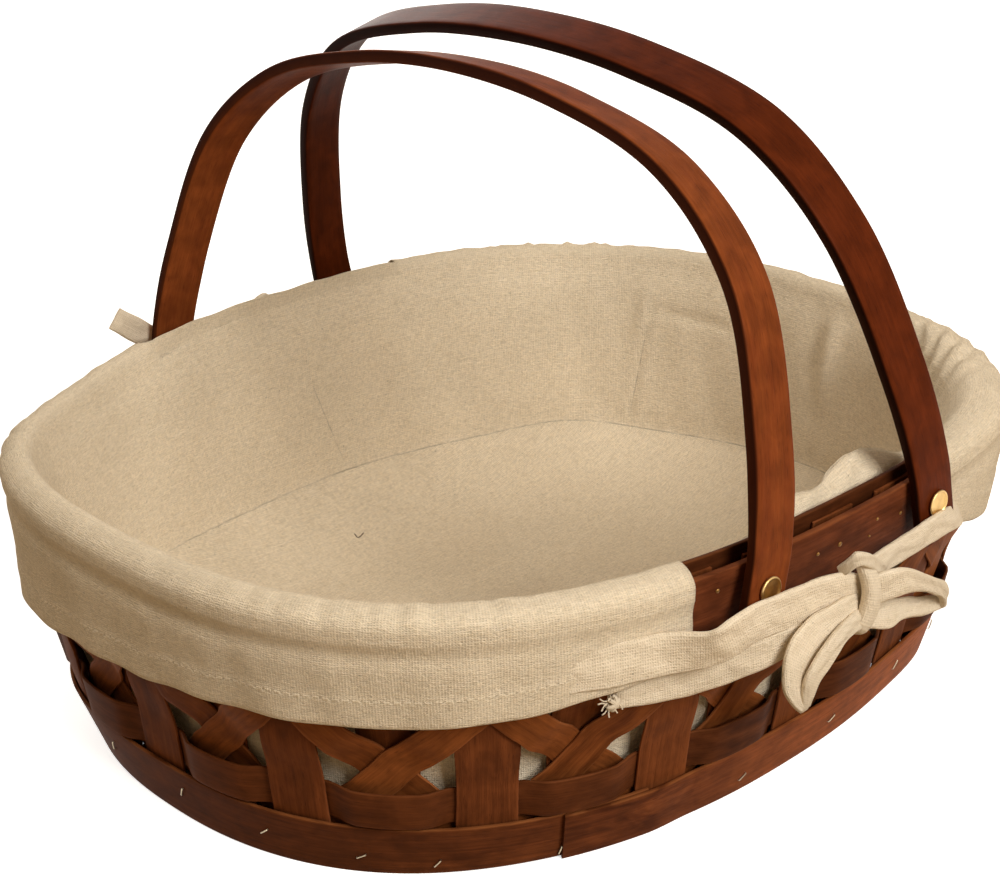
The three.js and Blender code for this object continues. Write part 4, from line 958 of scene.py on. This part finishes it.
liner_mesh = bpy.data.meshes.new("canvas_liner")
liner_mesh.from_pydata(flat_points[ids].tolist(), [], faces.tolist() + [centre_fan])
at_cuff = rows_all[:, 60]
lengths = np.concatenate([[0], np.cumsum(np.linalg.norm(np.diff(at_cuff, axis=0), axis=1))])
u_wall = np.stack([columns[j], columns[j] + 1 / COLUMNS, columns[j] + 1 / COLUMNS, columns[j]], -1) * WALL_ROUND * MM
v_wall = np.stack([lengths[i], lengths[i], lengths[i + 1], lengths[i + 1]], -1)
floor_uv = flat_points[:, :2] + FLOOR_UV_SHIFT
uv = np.where((i < FLOOR_RINGS)[..., None, None], floor_uv[quads], np.stack([u_wall, v_wall], -1))
uv = np.concatenate([uv[kept].reshape(-1, 2), floor_uv[centre_fan]])
liner_mesh.uv_layers.new(name="cloth").data.foreach_set("uv", uv.astype(np.float32).ravel())
from_seam = np.broadcast_to(((lengths - lengths[FLOOR_RINGS]) / MM)[:, None], from_hem.shape)
in_wall = np.abs(np.arange(row_count)[:, None] - FLOOR_RINGS - WALL_RINGS / 2) < WALL_RINGS / 2 - 1
upright = np.where(in_wall & (rows_all[..., 2] < 78 * MM), seam_distance(columns, rows_all[..., 2]), NO_SEAM)
lines = np.stack([from_seam, upright, from_hem], -1).reshape(-1, 3)[ids]
liner_mesh.attributes.new("lines", "FLOAT_VECTOR", "POINT").data.foreach_set(
    "vector", lines.astype(np.float32).ravel())
liner_mesh.polygons.foreach_set("use_smooth", np.ones(len(faces) + 1, bool))
liner = new_object("canvas_liner", liner_mesh, linen, "root")
shell = liner.modifiers.new("cloth_thickness", "SOLIDIFY")
shell.thickness, shell.offset, shell.use_even_offset = CLOTH, 0, False
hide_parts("liner")

# ---- Ties and bows ----
# Four casings of the same canvas, sewn flat to the ends of the cuffs. Two and two are knotted in a bow
# over the handles' feet, at the middle of each long side.
TAPE_THICK = 2.4 * MM


def tape(name, rows, far_side, thickness=TAPE_THICK, folds=1.0):
    """Soft flat tube. Each row is a point on its middle line and its full width as a vector, in mm. Its two
    faces are cushioned and softly creased lengthwise, and it is flat at both ends. The far side is the near
    side turned half round."""
    line = centripetal(np.array(rows, float) * MM, 24)
    spacing = np.concatenate([[0], np.cumsum(np.linalg.norm(np.diff(line[:, :3], axis=0), axis=1))])
    run = np.linspace(0, spacing[-1], max(int(spacing[-1] / (0.9 * MM)), 12))
    line = np.stack([np.interp(run, spacing, line[:, c]) for c in range(6)], -1)
    if far_side:
        line = line * (-1, -1, 1, -1, -1, 1)
    s, h, around = slab_outline(6.5 * MM, thickness / 2, 0.48 * thickness, 17)
    s = s / (13 * MM)
    middle, width = line[:, None, :3], line[:, None, 3:]
    normal = np.cross(np.gradient(line[:, :3], axis=0)[:, None], width)
    normal = normal / np.linalg.norm(normal, axis=-1, keepdims=True)
    seed = len(name) * 7
    inner = 1 - (2 * s) ** 4
    to_end = np.clip(np.minimum(run, run[-1] - run) / (6 * MM), 0, 1)[:, None]
    full = 0.3 + 0.7 * np.sin(to_end * np.pi / 2)
    cushion = 0.45 * MM * (1 - (2 * s) ** 2) * np.sign(h)
    crease = 0.26 * MM * np.sin(2 * np.pi * (s * 1.4 + 0.35 * waver(run[:, None], 0.07, seed)) + seed) * inner
    crumple = 0.16 * MM * waver(run[:, None] + s * 0.01, 0.022, seed + 1) * inner
    shrink = 1 + 0.03 * waver(run[:, None], 0.04, seed + 2)
    away = (h + cushion) * full + (crease + crumple) * folds * full
    points = middle + (s * shrink)[..., None] * width + away[..., None] * normal
    piece = bar(name, points, around, np.abs(2 * s), tape_linen, "root", chance.uniform(0, 4, 2), "cloth")
    return piece


LEFT_TIE = [(-150, -140.5, 94, 0, 0, 15), (-136, -151, 94.5, 0, 0, 16.5), (-122, -159.6, 95, 0, 0, 17),
            (-108, -166.1, 95.2, 0, 0, 17.5), (-95, -171.6, 95.4, -1.5, 0, 18), (-89, -176, 95.6, -3, -2, 18),
            (-84, -181, 96.2, -5, -4, 18), (-79.5, -185, 98, -9, -4.5, 18), (-73.5, -186.8, 100.3, -10.5, -3, 17),
            (-64.5, -187.8, 102, -6.5, -1, 16.5), (-47.5, -189, 101, -7.5, -1, 17.5),
            (-30.5, -190, 100, -7, -1, 18), (-16, -191, 99, -4, -0.5, 15), (-6, -192.5, 96.5, -2.5, 0, 11.5)]
RIGHT_TIE = [(84, -169.5, 92.5, -12, -2, 15), (77, -174.6, 94.8, -12, -1.5, 14), (71, -179, 96.4, -12, -1, 13.5),
             (64.5, -182.5, 98, -12, -1, 13),
             (49.5, -186, 100.5, -10.5, -1, 12), (32, -188, 101, -9, -0.5, 10.5), (18, -190, 102, -8.5, -0.5, 10.5),
             (6, -192, 103, -6.5, 0, 10), (-3.5, -193.5, 103.5, -4.5, 0, 8.5)]
RIGHT_LOOP = [(-8.5, -195, 97.5, -2.5, 0, 13), (-5.5, -197, 97, -3, 0, 13.5), (-1, -199, 97.5, -3.5, -0.5, 13.5),
              (8, -200, 96.5, -4, -0.5, 12.5), (19, -199, 92, -3.5, -0.5, 10.5), (32, -198, 84.5, -2.5, -0.5, 9),
              (41, -196, 78.5, -1, -0.5, 9.5), (45.5, -193.5, 72.5, 1.5, 0, 8), (44, -192, 71, 2, 2, 5.5),
              (35, -191.5, 72.5, 6, 5, 4.5), (21, -192, 77, 9.5, 6, 4), (10.5, -193, 79, 6.5, 5.5, 8),
              (0.5, -193, 82, 7, 4.5, 7), (-7.5, -193, 85, 2, 2, 7.5)]
HANGING_LOOP = [
    (-9, -193, 90.5, -3.5, 0, 11.5), (-16.5, -193.5, 91.5, -5, 1, 11.5), (-25, -194, 92, -7.5, 2, 10),
    (-34.5, -194, 90.5, -9, 2.5, 11), (-43.5, -194.5, 87.5, -11, 2, 11), (-49, -195, 82.5, -10.5, 2, 8.5),
    (-50.5, -195.5, 76.5, -10, 2, 6), (-50.5, -196, 71.5, -10, 1.5, 4.5), (-49.5, -197, 66, -5.5, 0.5, 1),
    (-46.5, -197.5, 63.5, -4.5, 0, -1), (-46, -198.5, 69.5, -5.5, 0.5, 3.5), (-45, -199.5, 75.5, -7, 0, 4.5),
    (-39.5, -200, 81, -9, 0, 5.5), (-30.5, -199.5, 86.5, -9.5, 0, 4.5), (-17.5, -197, 87.5, -9, 0, 7.5),
    (-8.5, -194.5, 86.5, -6.5, 0, 8)]
KNOT_WRAP = [(-9.5, -193, 109.5, -7, 0.5, 2), (-10, -195, 107, -7, 0.5, 1.5), (-9.5, -197, 102.5, -7.5, 0.5, 2),
             (-9, -198, 96.5, -7.5, 0.5, 2.5), (-10, -197.5, 89.5, -7.5, 0.5, 3.5), (-12, -196, 84, -7, 0.5, 4),
             (-12.5, -192, 80, -6, 0.5, 4)]
KNOT_FOLD = [(-19, -190, 106.5, -2.5, 0.5, 5), (-18, -193.5, 110, -1.5, 1, 5), (-16.5, -196, 113, -1, 1, 5.5),
             (-12.5, -197, 111.5, 0.5, 1, 5.5), (-5.5, -196, 106.5, 2, 1, 5), (5.5, -193, 99.5, 3, 0.5, 3.5)]
NEAR_TAIL = [(-107.5, -156.5, 76, 0.5, 0, 6.5), (-106, -158, 76.5, 0, 0, 8), (-103.5, -160, 77, 0, 0, 9),
             (-94.5, -164, 77.5, -0.5, 0, 11), (-86.5, -167.5, 78, -1, 0, 13), (-80, -172, 80.5, -1.5, 0, 16),
             (-68.5, -179, 83.5, -1.5, 0, 16), (-59.5, -184.5, 86, -1.5, 0, 15), (-48, -188, 87.5, -2, 0, 13),
             (-33.5, -189.5, 87.5, -4, 0, 13), (-16, -190.5, 87, -3, 0, 10)]
FAR_END = [(76.7, -188, 128.8, -7.1, 0, 8.5), (67.7, -188, 121.8, -8.4, 0, 8), (58.3, -188.5, 114.5, -9, 0, 7.2),
           (42, -189.5, 104, -5, 0, 9), (22, -190.5, 98, -3, 0, 9.5), (4, -191.5, 94, -1, 0, 8)]
for where, far_side in (("near", False), ("far", True)):
    for kind, rows in (("left_tie", LEFT_TIE), ("right_tie", RIGHT_TIE), ("right_loop", RIGHT_LOOP),
                       ("hanging_loop", HANGING_LOOP), ("knot_wrap", KNOT_WRAP), ("knot_fold", KNOT_FOLD)):
        bulk, folds = (4.6 * MM, 0.5) if kind == "knot_wrap" else (TAPE_THICK, 1.0)
        tape(f"{kind}_{where}", rows, far_side, bulk, folds)
tape("loose_end_near", NEAR_TAIL, False)
tape("loose_end_far", FAR_END, True)
# The near loose end is knotted off: a small ball of thread with frayed ends.
KNOT_PLACE = np.array((-109, -159.5, 77))
THREAD_ENDS = np.array([(-6, -1, 4), (-7, -1, 2), (-6, -1.5, 0), (-3, -2, -4.5), (1, -2, -5), (4, -2, -3.5),
                        (-5, -1, -2.5), (3.5, -1.5, 4), (-1, -1, 5.5)])


def strand(rows, radius):
    """Thin thread through points in millimetres, as one round skin."""
    line = evenly(centripetal(np.array(rows, float) * MM, 8), 0.5 * MM)
    along = np.gradient(line, axis=0)
    side = np.cross(along, (0.3, 1, 0.2))
    side = side / np.linalg.norm(side, axis=1, keepdims=True)
    other = np.cross(along, side) / np.linalg.norm(along, axis=1, keepdims=True)
    angle = np.linspace(0, 2 * np.pi, 7)[:-1, None]
    return line[:, None] + radius * MM * (np.cos(angle) * side[:, None] + np.sin(angle) * other[:, None])


threads = [strand([KNOT_PLACE + end * k + (0.5 * math.sin(n + 4 * k), 0, 0.7 * math.cos(2 * n + 5 * k))
                   for k in (0, 0.35, 0.7, 1)], 0.28) for n, end in enumerate(THREAD_ENDS)]
coils = [strand([KNOT_PLACE + (2.6 * math.cos(a) * math.cos(tip), -1.2 + 1.4 * math.sin(a),
                               2.6 * math.cos(a) * math.sin(tip)) for a in np.linspace(0, 6.0, 13)], 0.8)
         for tip in (0.3, 1.3, 2.3)]
fixings("frayed_knot_near", threads + coils, tape_linen)
# Dark lint: a stray thread that lies on the floor of the liner.
LOOSE_THREAD = [(3.1, 118.9, 12.6), (2.9, 116.2, 11.5), (4.2, 116.1, 11.6), (7.5, 117.3, 12.1)]
lint = blank(bpy.data.materials.new("dark_lint"))
fibre = node(lint, "BsdfPrincipled", {"Base Color": linear("#4a3826"), "Roughness": 0.9, "Specular IOR Level": 0.1})
node(lint, "OutputMaterial", [fibre])
fixings("loose_thread", [strand(LOOSE_THREAD, 0.22)], lint)
